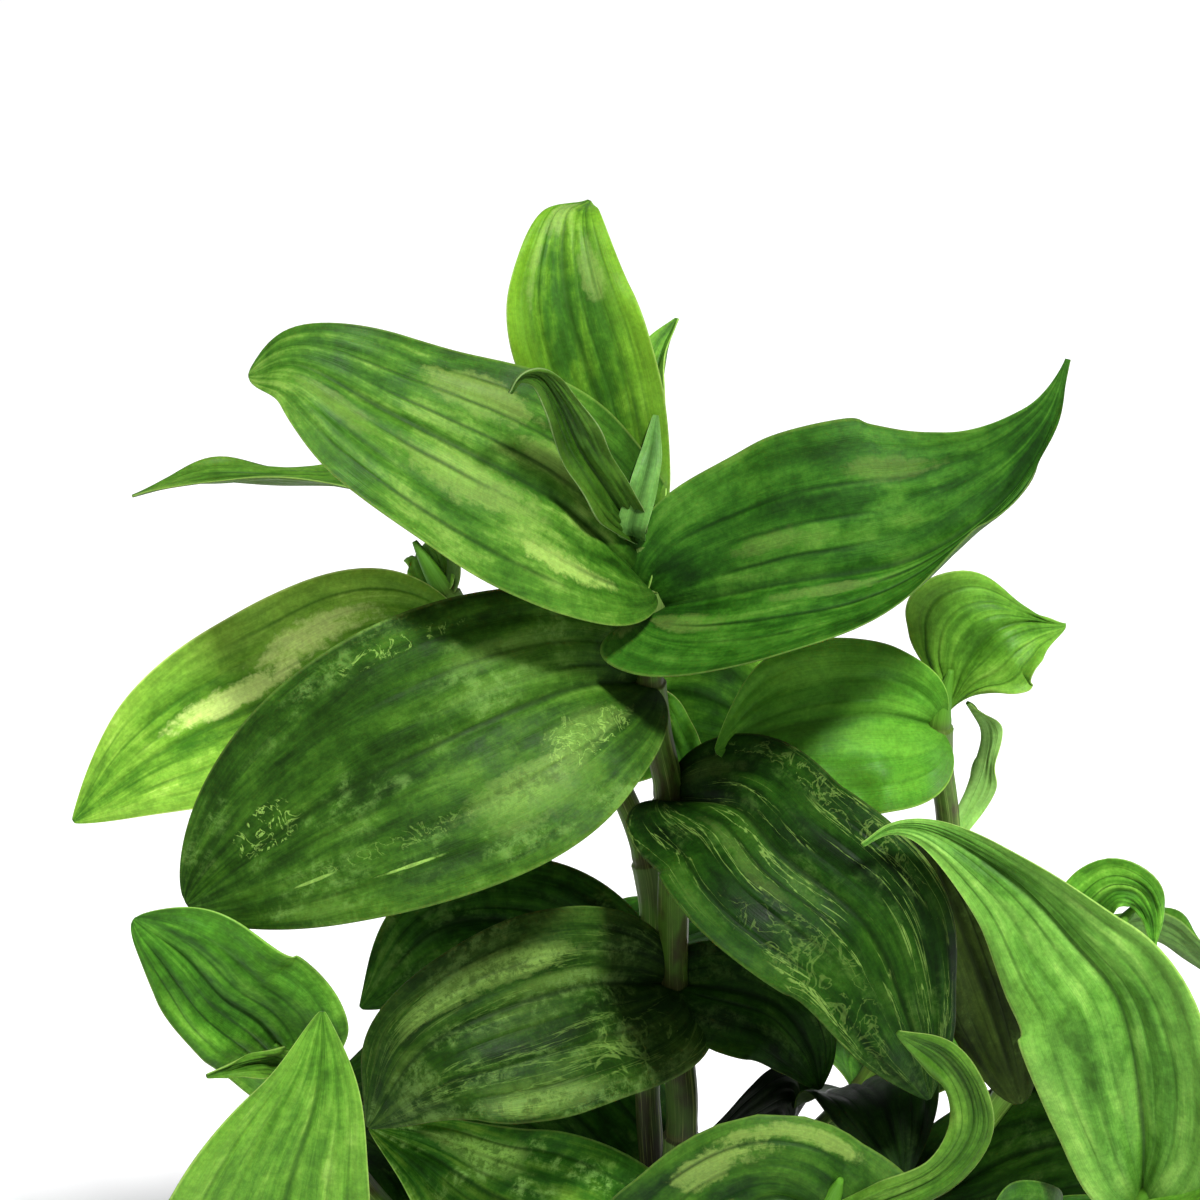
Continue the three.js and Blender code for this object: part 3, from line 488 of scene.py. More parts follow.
def stem_piece(name, radius, nodes, seed):
    """A round stem with fine lengthwise ribs, swollen joints and a sheath up to each joint."""
    foot = (nodes[0][0], nodes[0][1], SOIL_TOP - STEM_DEPTH)
    dense, along, stations = curve_through([foot] + list(nodes))
    total = along[-1]
    joints = stations[2:-1]
    spear_start = stations[-2]
    stops = list(np.arange(0, total, STEM_RING_STEP)) + [total]
    for joint in joints:
        stops += [joint - 0.5, joint - 0.15, joint + 0.15, joint + 0.5]
    stops = np.unique(np.round(np.clip(stops, 0, total), 3))
    points = spaced_points(dense, along, stops)
    tangents, normals = frames_along(points, (0, -1, 0))
    rights = np.cross(normals, tangents)
    rng = np.random.default_rng(STEM_SEED + seed)
    angles = 2 * math.pi * np.arange(STEM_SIDES) / STEM_SIDES
    ribs = 0.05 * np.sin(9 * angles + rng.uniform(0, 6)) + 0.035 * np.sin(13 * angles + rng.uniform(0, 6))
    share = stops / total
    spear = np.clip((stops - spear_start) / (total - spear_start), 0, 1)
    size = radius * (1 - (1 - STEM_TOP_SHARE) * share)
    size = size * (1 - spear**1.5) + SPEAR_END_RADIUS * spear**1.5
    proud = np.zeros(len(stops))
    for joint in joints:
        before = joint - stops
        sheath = SHEATH_PROUD * smooth(before, SHEATH_LENGTH, 1.5) * smooth(before, -0.3, 0.1)
        proud = np.maximum(proud, sheath)
        proud = proud + JOINT_SWELL * np.exp(-((stops - joint - 1.2) / 1.5) ** 2)
    wobble = 1 + STEM_WOBBLE * ripples(rng, share * total / 60, 0 * share, 4, 3)
    widths = (size * wobble + proud)[:, None] + ribs[None, :] * (1 - spear)[:, None]
    directions = (rights[:, None] * np.cos(angles)[None, :, None]
                  + normals[:, None] * np.sin(angles)[None, :, None])
    rings = points[:, None] + directions * widths[..., None]
    vertices, faces = loft(rings)
    around = 0.5 - 0.5 * np.cos(angles)
    uv = np.stack([np.repeat(share, STEM_SIDES), np.tile(around, len(stops))], axis=-1)
    uv = np.concatenate([uv, [[0, 0], [1, 0]]])
    shares = [joint / total for joint in joints]
    material = stem_material(f"{name}_skin", total, shares, spear_start / total, seed)
    return new_piece(f"{name}_tube", vertices, faces, name, [material], uv)


def srgb(red, green, blue, tone=1.0):
    """A colour given as 0 to 255 screen values, as the linear colour that shaders take, times a tone."""
    parts = [value / 255 for value in (red, green, blue)]
    linear = [p / 12.92 if p <= 0.04045 else ((p + 0.055) / 1.055) ** 2.4 for p in parts]
    return (*[min(1.0, part * tone) for part in linear], 1.0)


# How a leaf's blade looks at each age. Colours are screen values, and `tone` lightens or darkens all of
# them. A leaf's own `tone` is partly its own colour and partly painted light and painted shade. `shift`
# moves the pattern towards its light colours, and `tilt` does so on one half, which on right_inward is
# painted light on the half that upper_right shades. `creases` counts the lengthwise folds in each half,
# and `lines` is how dark the lines in them are, partly vein colour and partly painted shade in the folds.
# `knots` is the scale of the loops per metre. The blade is darker from its foot up to the share `base` of
# its length, which on far_left_broad is a painted shadow cast by upper_left. The rest are amounts from 0
# to about 1. A mark is a pale patch, and a loop is a patch of fine pale loops. Each has its place along and
# across, its half length and half width, and its strength.
LOOKS = {
    "young": dict(
        dark=(42, 82, 14), mid=(74, 124, 30), light=(108, 156, 50), pale=(164, 196, 100),
        under=(104, 140, 70), silver=(150, 190, 110), creases=4, relief=1.0, uneven=0.9, tone=1.0,
        shift=0.0, tilt=0.0, streaks=0.8, patches=0.4, rim=0.35, mottle=0.0, veinlets=0.0, margin=0.45,
        lines=0.7, base=0.14, gloss=0.5, shine=0.1, knots=210, marks=(), loops=(),
    ),
    "mature": dict(
        dark=(26, 58, 10), mid=(50, 96, 20), light=(84, 132, 38), pale=(144, 178, 82),
        under=(88, 122, 60), silver=(120, 160, 90), creases=4, relief=1.0, uneven=1.1, tone=1.0,
        shift=0.0, tilt=0.0, streaks=0.85, patches=0.4, rim=0.1, mottle=0.0, veinlets=0.0, margin=0.3,
        lines=0.75, base=0.14, gloss=0.5, shine=0.08, knots=210, marks=(), loops=(),
    ),
    "old": dict(
        dark=(13, 36, 4), mid=(28, 66, 10), light=(52, 98, 20), pale=(124, 160, 72),
        under=(60, 84, 40), silver=(94, 126, 60), creases=4, relief=0.8, uneven=1.1, tone=1.0,
        shift=0.0, tilt=0.0, streaks=0.7, patches=0.15, rim=0.0, mottle=0.35, veinlets=0.0, margin=0.2,
        lines=0.7, base=0.14, gloss=0.5, shine=0.05, knots=210, marks=(), loops=(),
    ),
}
COLOURS = ("dark", "mid", "light", "pale", "under", "silver")
LEAF_LOOKS = {
    "top": dict(
        tone=0.76, rim=0.9, base=0.65, lines=0.7, mid=(54, 104, 22), light=(112, 162, 36),
        marks=((0.86, -0.2, 0.08, 0.4, 0.45), (0.7, 0.45, 0.08, 0.2, 0.3), (0.75, -0.6, 0.12, 0.1, 0.3)),
    ),
    "top_flap": dict(
        tone=0.68, dark=(66, 106, 44), mid=(88, 138, 60), light=(112, 162, 74), pale=(150, 196, 116),
        creases=1, relief=0.2, uneven=0.15, lines=0.2, base=0.02, margin=0.7,
    ),
    "top_furled": dict(tone=0.46, base=0.4, margin=0.9, pale=(150, 186, 110)),
    "upper_left": dict(
        tone=0.75, shift=0.03, tilt=-0.03, patches=0.6,
        marks=((0.27, -0.52, 0.12, 0.12, 1.0), (0.5, -0.25, 0.16, 0.2, 0.45), (0.56, 0.55, 0.12, 0.2, 0.45),
               (0.36, 0.3, 0.1, 0.14, 0.5), (0.8, -0.3, 0.1, 0.15, 0.3)),
    ),
    "upper_right": dict(
        tone=0.6, dark=(22, 58, 9), mid=(43, 96, 18), light=(76, 134, 36), shift=0.01, patches=0.25,
        creases=5, lines=0.9, base=0.05,
        marks=((0.0, 0.75, 0.05, 0.25, 0.6), (0.12, 0.35, 0.08, 0.12, 0.3), (0.3, -0.3, 0.1, 0.08, 0.25),
               (0.4, 0.15, 0.12, 0.06, 0.3), (0.55, -0.65, 0.12, 0.1, 0.25)),
    ),
    # stem_small sits in deep shade among the leaves on the main stem; its high tone is painted light.
    "stem_small": dict(tone=3.5, streaks=0.5, creases=2, lines=0.3, base=0.05, margin=0.6),
    "middle_left": dict(
        tone=1.02, mottle=0.45, shift=0.01, tilt=-0.03, lines=0.5, base=0.2,
        dark=(18, 39, 6), mid=(34, 66, 12), light=(60, 98, 24),
        marks=((0.76, -0.54, 0.04, 0.015, 1.0), (0.59, -0.69, 0.06, 0.012, 0.9),
               (0.35, -0.55, 0.12, 0.2, 0.4), (0.2, -0.35, 0.09, 0.15, 0.35), (0.3, 0.5, 0.1, 0.12, 0.25)),
        loops=((0.79, 0.12, 0.06, 0.2, 0.8), (0.2, -0.38, 0.08, 0.18, 0.6), (0.45, 0.8, 0.1, 0.06, 0.6),
               (0.6, -0.5, 0.14, 0.06, 0.28)),
    ),
    "middle_right": dict(
        tone=0.52, veinlets=0.9, mottle=0.3,
        marks=((0.3, 0.3, 0.12, 0.08, 0.3), (0.1, -0.5, 0.08, 0.2, 0.35)),
        loops=((0.35, -0.8, 0.25, 0.12, 0.5), (0.6, 0.6, 0.2, 0.3, 0.35)), knots=140,
    ),
    "lower_left": dict(
        tone=0.7, mottle=0.7, veinlets=0.3, lines=0.5, knots=90, patches=0.1,
        dark=(19, 41, 7), mid=(34, 67, 12), light=(70, 100, 34),
        marks=((0.53, 0.5, 0.2, 0.2, 0.8), (0.35, 0.15, 0.12, 0.1, 0.4), (0.5, -0.82, 0.16, 0.12, 0.6)),
        loops=((0.22, -0.6, 0.12, 0.3, 0.4),),
    ),
    "shaded": dict(tone=0.58),
    "left_shaded": dict(tone=1.05),
    # low_left lies under lower_left; its high tone is partly painted light lifting it out of that shade.
    "low_left": dict(tone=2.8, mottle=0.8, light=(70, 98, 26), marks=((0.72, 0.5, 0.14, 0.3, 0.5),)),
    # behind_stem lies in shade behind the main stem; its high tone is painted light.
    "behind_stem": dict(tone=2.3),
    # far_left_broad: `base` 0.3 is a painted shadow, the shade that upper_left casts on the part of the
    # blade next to its foot.
    "far_left_broad": dict(
        tone=1.45, patches=0.8, base=0.3, mid=(80, 122, 30), light=(116, 152, 52), pale=(180, 200, 112),
        marks=((0.36, 0.4, 0.14, 0.2, 0.7), (0.57, 0.2, 0.16, 0.14, 0.7), (0.42, -0.2, 0.12, 0.1, 0.5)),
    ),
    "far_left_narrow": dict(tone=0.6),
    # right_inward lies in the shade of upper_right: its high tone and lighter dark colour are painted
    # light, and `tilt` paints more light on its shaded half.
    "right_inward": dict(
        tone=1.65, dark=(48, 86, 20), tilt=0.03, lines=0.4, streaks=0.4, patches=0.0, rim=0.0,
    ),
    "right_low": dict(tone=0.24),
    # right_foot's very low tone is partly painted shade: a near-black leaf deep in the middle of the plant.
    "right_foot": dict(tone=0.1),
    "right_arched": dict(tone=1.6),
    "back_right_low": dict(tone=0.28),
    "left_round": dict(tone=1.5, patches=0.3),
    "left_bud": dict(tone=0.65),
    "front_right_long": dict(tone=1.0, shift=0.02, lines=0.5, mid=(74, 124, 38), light=(108, 156, 62)),
    "front_left_tall": dict(tone=0.85, lines=0.5),
    "front_broad": dict(
        tone=0.52, dark=(18, 50, 10), shift=0.01, rim=0.0,
        marks=((0.27, 0.6, 0.06, 0.2, 0.9), (0.2, 0.85, 0.05, 0.1, 0.8), (0.35, 0.1, 0.1, 0.15, 0.5)),
    ),
    "front_twisted": dict(tone=0.58),
    "right_olive": dict(tone=0.4, dark=(22, 34, 6), mid=(42, 60, 14), light=(62, 84, 24), mottle=0.5),
    "back_right_bent": dict(tone=1.7),
}
STEM_SKIN = dict(
    green=(80, 120, 36), brown=(64, 66, 30), pale=(142, 152, 84), sheath=(92, 124, 58), foot=(30, 30, 14),
)


class Paint:
    """Shorthand for building the nodes of one material."""

    def __init__(self, name):
        self.material = bpy.data.materials.new(name)
        self.material.use_nodes = True
        self.tree = self.material.node_tree
        self.shader = self.tree.nodes["Principled BSDF"]

    def set(self, socket, value):
        if isinstance(value, bpy.types.NodeSocket):
            self.tree.links.new(value, socket)
        else:
            socket.default_value = value

    def node(self, kind, inputs, **settings):
        node = self.tree.nodes.new("ShaderNode" + kind)
        for key, value in settings.items():
            setattr(node, key, value)
        for key, value in inputs.items():
            self.set(node.inputs[key], value)
        return node

    def math(self, operation, *values):
        return self.node("Math", dict(enumerate(values)), operation=operation).outputs[0]

    def add(self, a, b):
        return self.math("ADD", a, b)

    def times(self, a, b):
        return self.math("MULTIPLY", a, b)

    def step(self, value, low, high, start=0.0, end=1.0):
        """A smooth step from start at low to end at high."""
        inputs = {"Value": value, "From Min": low, "From Max": high, "To Min": start, "To Max": end}
        return self.node("MapRange", inputs, interpolation_type="SMOOTHSTEP").outputs[0]

    def place(self, x, y, z=0.0):
        return self.node("CombineXYZ", {"X": x, "Y": y, "Z": z}).outputs[0]

    def noise(self, place, scale=1.0, detail=2.0, rough=0.5, warp=0.0):
        inputs = {"Vector": place, "Scale": scale, "Detail": detail, "Roughness": rough, "Distortion": warp}
        return self.node("TexNoise", inputs).outputs[0]

    def mix(self, factor, a, b, blend="MIX"):
        node = self.node("Mix", {0: factor}, data_type="RGBA", blend_type=blend)
        for socket, value in ((node.inputs[6], a), (node.inputs[7], b)):
            self.set(socket, srgb(*value) if isinstance(value, tuple) and len(value) == 3 else value)
        return node.outputs[2]

    def shade(self, colour, amount):
        """The colour made lighter or darker by an amount round 1."""
        grey = self.node("CombineColor", {0: amount, 1: amount, 2: amount}).outputs[0]
        return self.mix(1.0, colour, grey, "MULTIPLY")

    def finish(self, colour, roughness, height, depth, bump=0.5):
        """Sets the shader and returns the material. `height` is in depths of `depth` metres."""
        relief = self.node("Bump", {"Strength": bump, "Distance": depth, "Height": height})
        self.set(self.shader.inputs["Base Color"], colour)
        self.set(self.shader.inputs["Roughness"], roughness)
        self.set(self.shader.inputs["Normal"], relief.outputs[0])
        return self.material


def blade_material(name, look, index, length, half, under):
    """Patches and bands between veins, dark creases, a midrib, a pale margin, old marks and fine grain. The
    dark lines in the creases and on the upper midrib are partly vein colour and partly painted shade in the
    folds.
    """
    paint = Paint(name)
    look = {**look, **{key: srgb(*look[key], look["tone"]) for key in COLOURS}}
    surface = paint.node("UVMap", {}, uv_map="surface").outputs[0]
    here = paint.node("TexCoord", {}).outputs["Object"]
    parts = paint.node("SeparateXYZ", {"Vector": surface})
    u, v = parts.outputs[0], paint.math("MULTIPLY_ADD", parts.outputs[1], 2.0, -1.0)
    reach = paint.math("ABSOLUTE", v)
    along, across = length / USUAL_LENGTH, half / USUAL_HALF_WIDTH
    seed = 7.3 * index + (3.1 if under else 0)

    def field(along_scale, across_scale, layer, detail=2.0, rough=0.5, warp=0.0):
        x = paint.times(u, along_scale * along)
        y = paint.times(v, across_scale * across)
        return paint.noise(paint.place(x, y, seed + 11.7 * layer), 1.0, detail, rough, warp)

    def near(mark_u, mark_v, long, wide):
        du = paint.math("POWER", paint.times(paint.add(u, -mark_u), 1 / long), 2.0)
        dv = paint.math("POWER", paint.times(paint.add(v, -mark_v), 1 / wide), 2.0)
        return paint.add(paint.add(du, dv), ragged)

    clouds = paint.noise(here, CLOUD_SCALE, 3.0, 0.6)
    patches = paint.noise(here, PATCH_SCALE, 6.0, 0.66, 0.5)
    flecks = paint.noise(here, FLECK_SCALE, 4.0, 0.72, 0.3)
    grain = paint.noise(here, GRAIN_SCALE, 3.0, 0.6)
    bands = field(2.4, 3.4, 1, 5.0, 0.6, 0.4)
    fibre = field(3.0, 70.0, 3, 2.0, 0.6)
    ragged = paint.math("MULTIPLY_ADD", bands, 3.0, -1.5)
    ragged = paint.add(paint.math("MULTIPLY_ADD", flecks, 3.2, -1.6), ragged)
    tone = paint.add(paint.times(clouds, 0.25), paint.times(patches, 0.2))
    tone = paint.add(tone, paint.add(paint.times(bands, 0.46), paint.times(flecks, 0.09)))
    # `tilt` lightens one half of the pattern; on right_inward it is painted light on the half that
    # upper_right shades.
    tone = paint.add(paint.add(tone, look["shift"]), paint.times(v, look["tilt"]))
    colour = paint.mix(paint.step(tone, 0.38, 0.52), look["dark"], look["mid"])
    colour = paint.mix(paint.step(tone, 0.47, 0.6, 0.0, look["streaks"]), colour, look["light"])
    colour = paint.mix(paint.step(tone, 0.54, 0.66, 0.0, look["patches"]), colour, look["pale"])
    colour = paint.mix(paint.step(reach, 0.35, 1.0, 0.0, look["rim"]), colour, look["light"])
    broken = paint.step(flecks, 0.4, 0.58, 1 - 0.8 * look["mottle"], 1.0)
    for *place, amount in look["marks"]:
        mark = paint.times(broken, paint.step(near(*place), 0.2, 1.3, amount, 0.0))
        colour = paint.mix(mark, colour, look["pale"])
    if look["mottle"]:
        silver = paint.step(field(2.0, 2.2, 6, 3.0, 0.6), 0.44, 0.6)
        speckle = paint.times(paint.step(patches, 0.46, 0.6), paint.step(flecks, 0.4, 0.6))
        speckle = paint.times(paint.times(speckle, silver), look["mottle"])
        colour = paint.mix(speckle, colour, look["silver"])
    if look["veinlets"]:
        wander = field(1.6, 5.5, 7, 5.0, 0.58, 0.6)
        line = paint.step(paint.math("ABSOLUTE", paint.add(wander, -0.5)), 0.004, 0.016, 1.0, 0.0)
        gate = paint.step(field(1.8, 2.4, 8, 2.0, 0.5), 0.45, 0.53)
        colour = paint.mix(paint.times(paint.times(line, gate), look["veinlets"]), colour, look["pale"])
    for *place, amount in look["loops"]:
        wander = paint.noise(here, look["knots"], 4.0, 0.6, 1.2)
        line = paint.step(paint.math("ABSOLUTE", paint.add(wander, -0.5)), 0.006, 0.024, 1.0, 0.0)
        line = paint.times(line, paint.step(near(*place), 0.6, 1.4, amount, 0.0))
        colour = paint.mix(line, colour, look["pale"])
    if under:
        colour = paint.mix(0.75, colour, look["under"])
    wavy = paint.math("MULTIPLY_ADD", clouds, 0.06, reach)
    folds = paint.math("ABSOLUTE", paint.math("SINE", paint.times(wavy, math.pi * look["creases"])))
    ends = paint.times(paint.step(u, 0.03, 0.2), paint.step(u, 0.7, 1.0, 1.0, 0.0))
    strong = paint.times(ends, paint.step(field(1.6, 3.0, 9), 0.4, 0.62, 0.1, 1.0))
    crease = paint.times(paint.step(folds, 0.0, 0.45, 1.0, 0.0), paint.step(reach, 0.7, 0.95, 1.0, 0.0))
    crease = paint.times(crease, strong)
    rib = paint.times(paint.step(reach, 0.0, 1.3 / half, 1.0, 0.0), paint.step(u, 0.75, 1.0, 1.0, 0.0))
    # Dark lines in the creases and along the upper midrib: partly the veins' own colour and partly painted
    # shade in the folds.
    colour = paint.mix(paint.times(crease, 0.3 if under else look["lines"]), colour, look["dark"])
    colour = paint.mix(paint.times(rib, 0.75), colour, look["under"] if under else look["dark"])
    # Darker from the foot up to `base`; on far_left_broad this is a painted shadow cast by upper_left.
    colour = paint.mix(paint.step(u, 0.0, look["base"], 0.7, 0.0), colour, look["dark"])
    colour = paint.mix(paint.step(reach, 0.97, 0.995, 0.0, look["margin"]), colour, look["pale"])
    colour = paint.shade(colour, paint.step(fibre, 0.3, 0.7, 0.93, 1.07))
    colour = paint.shade(colour, paint.step(paint.add(grain, flecks), 0.75, 1.25, 0.87, 1.13))
    paint.shader.inputs["Subsurface Weight"].default_value = 0.06
    paint.shader.inputs["Subsurface Scale"].default_value = 0.0015
    paint.shader.inputs["Specular IOR Level"].default_value = look["shine"]
    roughness = paint.step(patches, 0.3, 0.7, look["gloss"] - 0.1, look["gloss"] + 0.12)
    height = paint.add(paint.times(fibre, 0.4), paint.times(crease, -0.8))
    height = paint.add(height, paint.times(flecks, 0.5))
    return paint.finish(colour, roughness, height, 0.0003)


def stem_material(name, total, joints, spear_start, seed):
    """Green-brown skin, darker at the foot, with pale lines, a dark ring at each joint and a green tip."""
    paint = Paint(name)
    surface = paint.node("UVMap", {}, uv_map="surface").outputs[0]
    parts = paint.node("SeparateXYZ", {"Vector": surface})
    u, around = parts.outputs[0], parts.outputs[1]
    along = paint.times(u, total / 10)

    def field(along_scale, around_scale, layer, detail=2.0):
        x, y = paint.times(along, along_scale), paint.times(around, around_scale)
        return paint.noise(paint.place(x, y, 5.1 * seed + 9.3 * layer), 1.0, detail, 0.6)

    patches = field(0.8, 1.2, 0, 3.0)
    lines = field(0.5, 26.0, 1)
    colour = paint.mix(paint.step(patches, 0.36, 0.64), STEM_SKIN["brown"], STEM_SKIN["green"])
    colour = paint.mix(paint.step(u, 0.3, 0.66, 0.85, 0.0), colour, STEM_SKIN["foot"])
    colour = paint.mix(paint.step(lines, 0.56, 0.72, 0.0, 0.5), colour, STEM_SKIN["pale"])
    for joint in joints:
        past = paint.times(paint.add(u, -joint), total)
        sheath = paint.times(paint.step(past, -SHEATH_LENGTH, -2.0), paint.step(past, -0.4, 0.0, 0.6, 0.0))
        ring = paint.step(paint.math("ABSOLUTE", paint.add(past, -0.9)), 0.3, 1.4, 0.7, 0.0)
        colour = paint.mix(sheath, colour, STEM_SKIN["sheath"])
        colour = paint.mix(ring, colour, STEM_SKIN["brown"])
    colour = paint.mix(paint.step(u, spear_start - 0.01, spear_start + 0.02), colour, LOOKS["young"]["mid"])
    colour = paint.shade(colour, paint.step(lines, 0.3, 0.7, 0.84, 1.12))
    paint.shader.inputs["Specular IOR Level"].default_value = 0.15
    roughness = paint.step(patches, 0.3, 0.7, 0.42, 0.6)
    return paint.finish(colour, roughness, lines, 0.0002)


def soil_material(name, lightness):
    """Dark, damp, crumbly potting soil with pale and fibrous specks."""
    paint = Paint(name)
    here = paint.node("TexCoord", {}).outputs["Object"]
    damp = paint.noise(here, 60.0, 3.0)
    grain = paint.noise(here, 900.0, 4.0, 0.7)
    speck = paint.noise(here, 420.0, 2.0, 0.5, 0.5)
    colour = paint.mix(paint.step(damp, 0.35, 0.65), (34, 25, 18), (62, 46, 34))
    colour = paint.mix(paint.step(speck, 0.66, 0.72, 0.0, 0.7), colour, (126, 100, 74))
    colour = paint.shade(colour, paint.step(grain, 0.3, 0.7, 0.6 * lightness, 1.35 * lightness))
    roughness = paint.step(damp, 0.3, 0.7, 0.95, 0.8)
    return paint.finish(colour, roughness, grain, 0.0008, 0.8)


def clay_material(name):
    """Fired terracotta: warm mottling, turning lines, fine grain, mineral bloom and a damp foot."""
    paint = Paint(name)
    here = paint.node("TexCoord", {}).outputs["Object"]
    parts = paint.node("SeparateXYZ", {"Vector": here})
    height = parts.outputs[2]
    clouds = paint.noise(here, 18.0, 4.0, 0.6)
    grain = paint.noise(here, 1400.0, 3.0, 0.6)
    turned = paint.noise(paint.place(0.0, 0.0, height), 900.0, 2.0)
    chalk = paint.noise(here, 42.0, 5.0, 0.65, 0.6)
    colour = paint.mix(paint.step(clouds, 0.32, 0.68), (158, 84, 52), (190, 112, 74))
    band = paint.step(height, 0.05, (POT_HEIGHT - RIM_BAND) * MM, 0.3, 1.0)
    colour = paint.mix(paint.times(paint.step(chalk, 0.52, 0.7, 0.0, 0.55), band), colour, (214, 186, 160))
    colour = paint.mix(paint.step(height, 0.0, 0.016, 0.45, 0.0), colour, (120, 66, 44))
    colour = paint.shade(colour, paint.step(turned, 0.3, 0.7, 0.94, 1.05))
    colour = paint.shade(colour, paint.step(grain, 0.25, 0.75, 0.9, 1.1))
    roughness = paint.step(clouds, 0.3, 0.7, 0.78, 0.92)
    relief = paint.add(paint.times(grain, 0.6), paint.times(turned, 0.8))
    return paint.finish(colour, roughness, relief, 0.0003, 0.5)


def lathe(profile, sides, wobble):
    """Vertices and faces of a profile of (radius, height) points turned round +Z, closed on the axis."""
    angles = 2 * math.pi * np.arange(sides) / sides
    rings = []
    for radius, height in profile:
        swell = radius + wobble(angles, radius, height)
        ring = [swell * np.cos(angles), swell * np.sin(angles), np.full(sides, height)]
        rings.append(np.stack(ring, axis=-1))
    return loft(rings)


def rounded(corners, radius, steps=5):
    """A profile with each inner corner replaced by a short arc of about the given radius."""
    corners = [np.asarray(corner, float) for corner in corners]
    profile = [corners[0]]
    for before, corner, after in zip(corners, corners[1:], corners[2:]):
        reach = min(radius, np.linalg.norm(before - corner) / 2, np.linalg.norm(after - corner) / 2)
        start = corner + unit(before - corner) * reach
        end = corner + unit(after - corner) * reach
        for t in np.linspace(0, 1, steps):
            profile.append((1 - t) ** 2 * start + 2 * t * (1 - t) * corner + t**2 * end)
    return profile + [corners[-1]]


def finer(profile, step):
    """The profile with points added so that no two lie much further apart than a step."""
    points = [profile[0]]
    for a, b in zip(profile, profile[1:]):
        count = max(1, round(np.linalg.norm(b - a) / step))
        points += [a + (b - a) * (k + 1) / count for k in range(count)]
    return points


def pot_piece():
    """A turned clay pot with a plain rim band, softened edges and faint turning rings."""
    inside_top = POT_RIM_RADIUS - POT_WALL - LIP
    inside_floor = POT_BASE_RADIUS - POT_WALL
    corners = [
        (0.01, 0), (POT_BASE_RADIUS, 0), (POT_RIM_RADIUS - RIM_PROUD, POT_HEIGHT - RIM_BAND - 1),
        (POT_RIM_RADIUS, POT_HEIGHT - RIM_BAND + 1), (POT_RIM_RADIUS, POT_HEIGHT),
        (inside_top, POT_HEIGHT), (inside_floor, POT_FLOOR), (0.01, POT_FLOOR),
    ]
    profile = finer(rounded(corners, LIP), 1.5)
    rng = np.random.default_rng(POT_SEED)
    phases = rng.uniform(0, 2 * math.pi, 4)

    def wobble(angles, radius, height):
        rings = 0.05 * math.sin(1.9 * height + phases[0]) + 0.04 * math.sin(0.7 * height + phases[1])
        dents = 0.12 * np.sin(2 * angles + phases[2])
        dents = dents + 0.07 * np.sin(5 * angles + 0.05 * height + phases[3])
        return (rings + dents) * min(1, radius / inside_floor) ** 2 * smooth(height, 0, 6)

    vertices, faces = lathe(profile, POT_SIDES, wobble)
    return new_piece("pot_clay", vertices, faces, "pot", [clay_material("fired_clay")])


def soil_height(x, y, edge):
    """The height of the soil's uneven top, level at its edge."""
    inward = 1 - np.hypot(x, y) / edge
    lump = np.sin(0.21 * x + 0.4) * np.cos(0.17 * y) + 0.6 * np.sin(0.43 * y + 0.31 * x)
    return SOIL_TOP + SOIL_LUMP * lump * np.minimum(1, 5 * inward)


def soil_piece():
    """The soil's body, with a crumbly top. Returns the radius of its top edge."""
    inside_top = POT_RIM_RADIUS - POT_WALL - LIP
    inside_floor = POT_BASE_RADIUS - POT_WALL
    floor = POT_FLOOR + SEAT_GAP
    slope = (inside_top - inside_floor) / (POT_HEIGHT - POT_FLOOR)
    foot = inside_floor - SEAT_GAP
    edge = foot + slope * (SOIL_TOP - POT_FLOOR)
    angles = 2 * math.pi * np.arange(SOIL_SIDES) / SOIL_SIDES
    rings = []
    for radius, height in ((0.01, floor), (foot, floor), ((foot + edge) / 2, (floor + SOIL_TOP) / 2)):
        ring = [radius * np.cos(angles), radius * np.sin(angles), np.full(SOIL_SIDES, height)]
        rings.append(np.stack(ring, axis=-1))
    rng = np.random.default_rng(SOIL_SEED)
    for share in np.linspace(1, 0.01, SOIL_RINGS):
        x, y = edge * share * np.cos(angles), edge * share * np.sin(angles)
        crumbs = ripples(np.random.default_rng(LUMP_SEED), x / 9, y / 4.5, 24, 2.4)
        rough = 0.55 * crumbs + rng.uniform(-0.22, 0.22, SOIL_SIDES)
        height = soil_height(x, y, edge) + rough * min(1, 8 * (1 - share)) - 0.2
        rings.append(np.stack([x, y, height], axis=-1))
    vertices, faces = loft(rings)
    new_piece("soil_bed", vertices, faces, "soil", [soil_material("potting_soil", 1.0)])
    return edge


def crumb_piece(edge):
    """Loose crumbs and bits of bark lying on the soil, as one mesh."""
    rng = np.random.default_rng(CRUMB_SEED)
    ball = bpy.data.meshes.new("crumb_seed")
    seed = bmesh.new()
    bmesh.ops.create_icosphere(seed, subdivisions=2, radius=1)
    seed.to_mesh(ball)
    seed.free()
    round_shape = np.array([vertex.co[:] for vertex in ball.vertices])
    round_faces = [list(face.vertices) for face in ball.polygons]
    bpy.data.meshes.remove(ball)
    vertices, faces = [], []
    for _ in range(CRUMBS):
        reach, angle = (edge - 3) * rng.random() ** 0.5, rng.uniform(0, 2 * math.pi)
        x, y = reach * math.cos(angle), reach * math.sin(angle)
        size = rng.uniform(0.6, 1.7) * np.array([1, rng.uniform(0.6, 1), rng.uniform(0.45, 0.8)])
        if rng.random() < 0.12:
            size *= (2.2, 0.8, 0.6)
        shape = round_shape * (1 + 0.16 * rng.standard_normal((len(round_shape), 1)))
        turn = Euler(rng.uniform((-0.5, -0.5, 0), (0.5, 0.5, 6.3))).to_matrix()
        shape = (shape * size) @ np.array(turn).T
        start = len(vertices) * len(round_shape)
        height = soil_height(x, y, edge) + 0.35 * size[2]
        vertices.append(shape + (x, y, height))
        faces += [[start + corner for corner in face] for face in round_faces]
    material = soil_material("loose_soil", 1.3)
    return new_piece("soil_crumbs", np.concatenate(vertices), faces, "soil", [material])


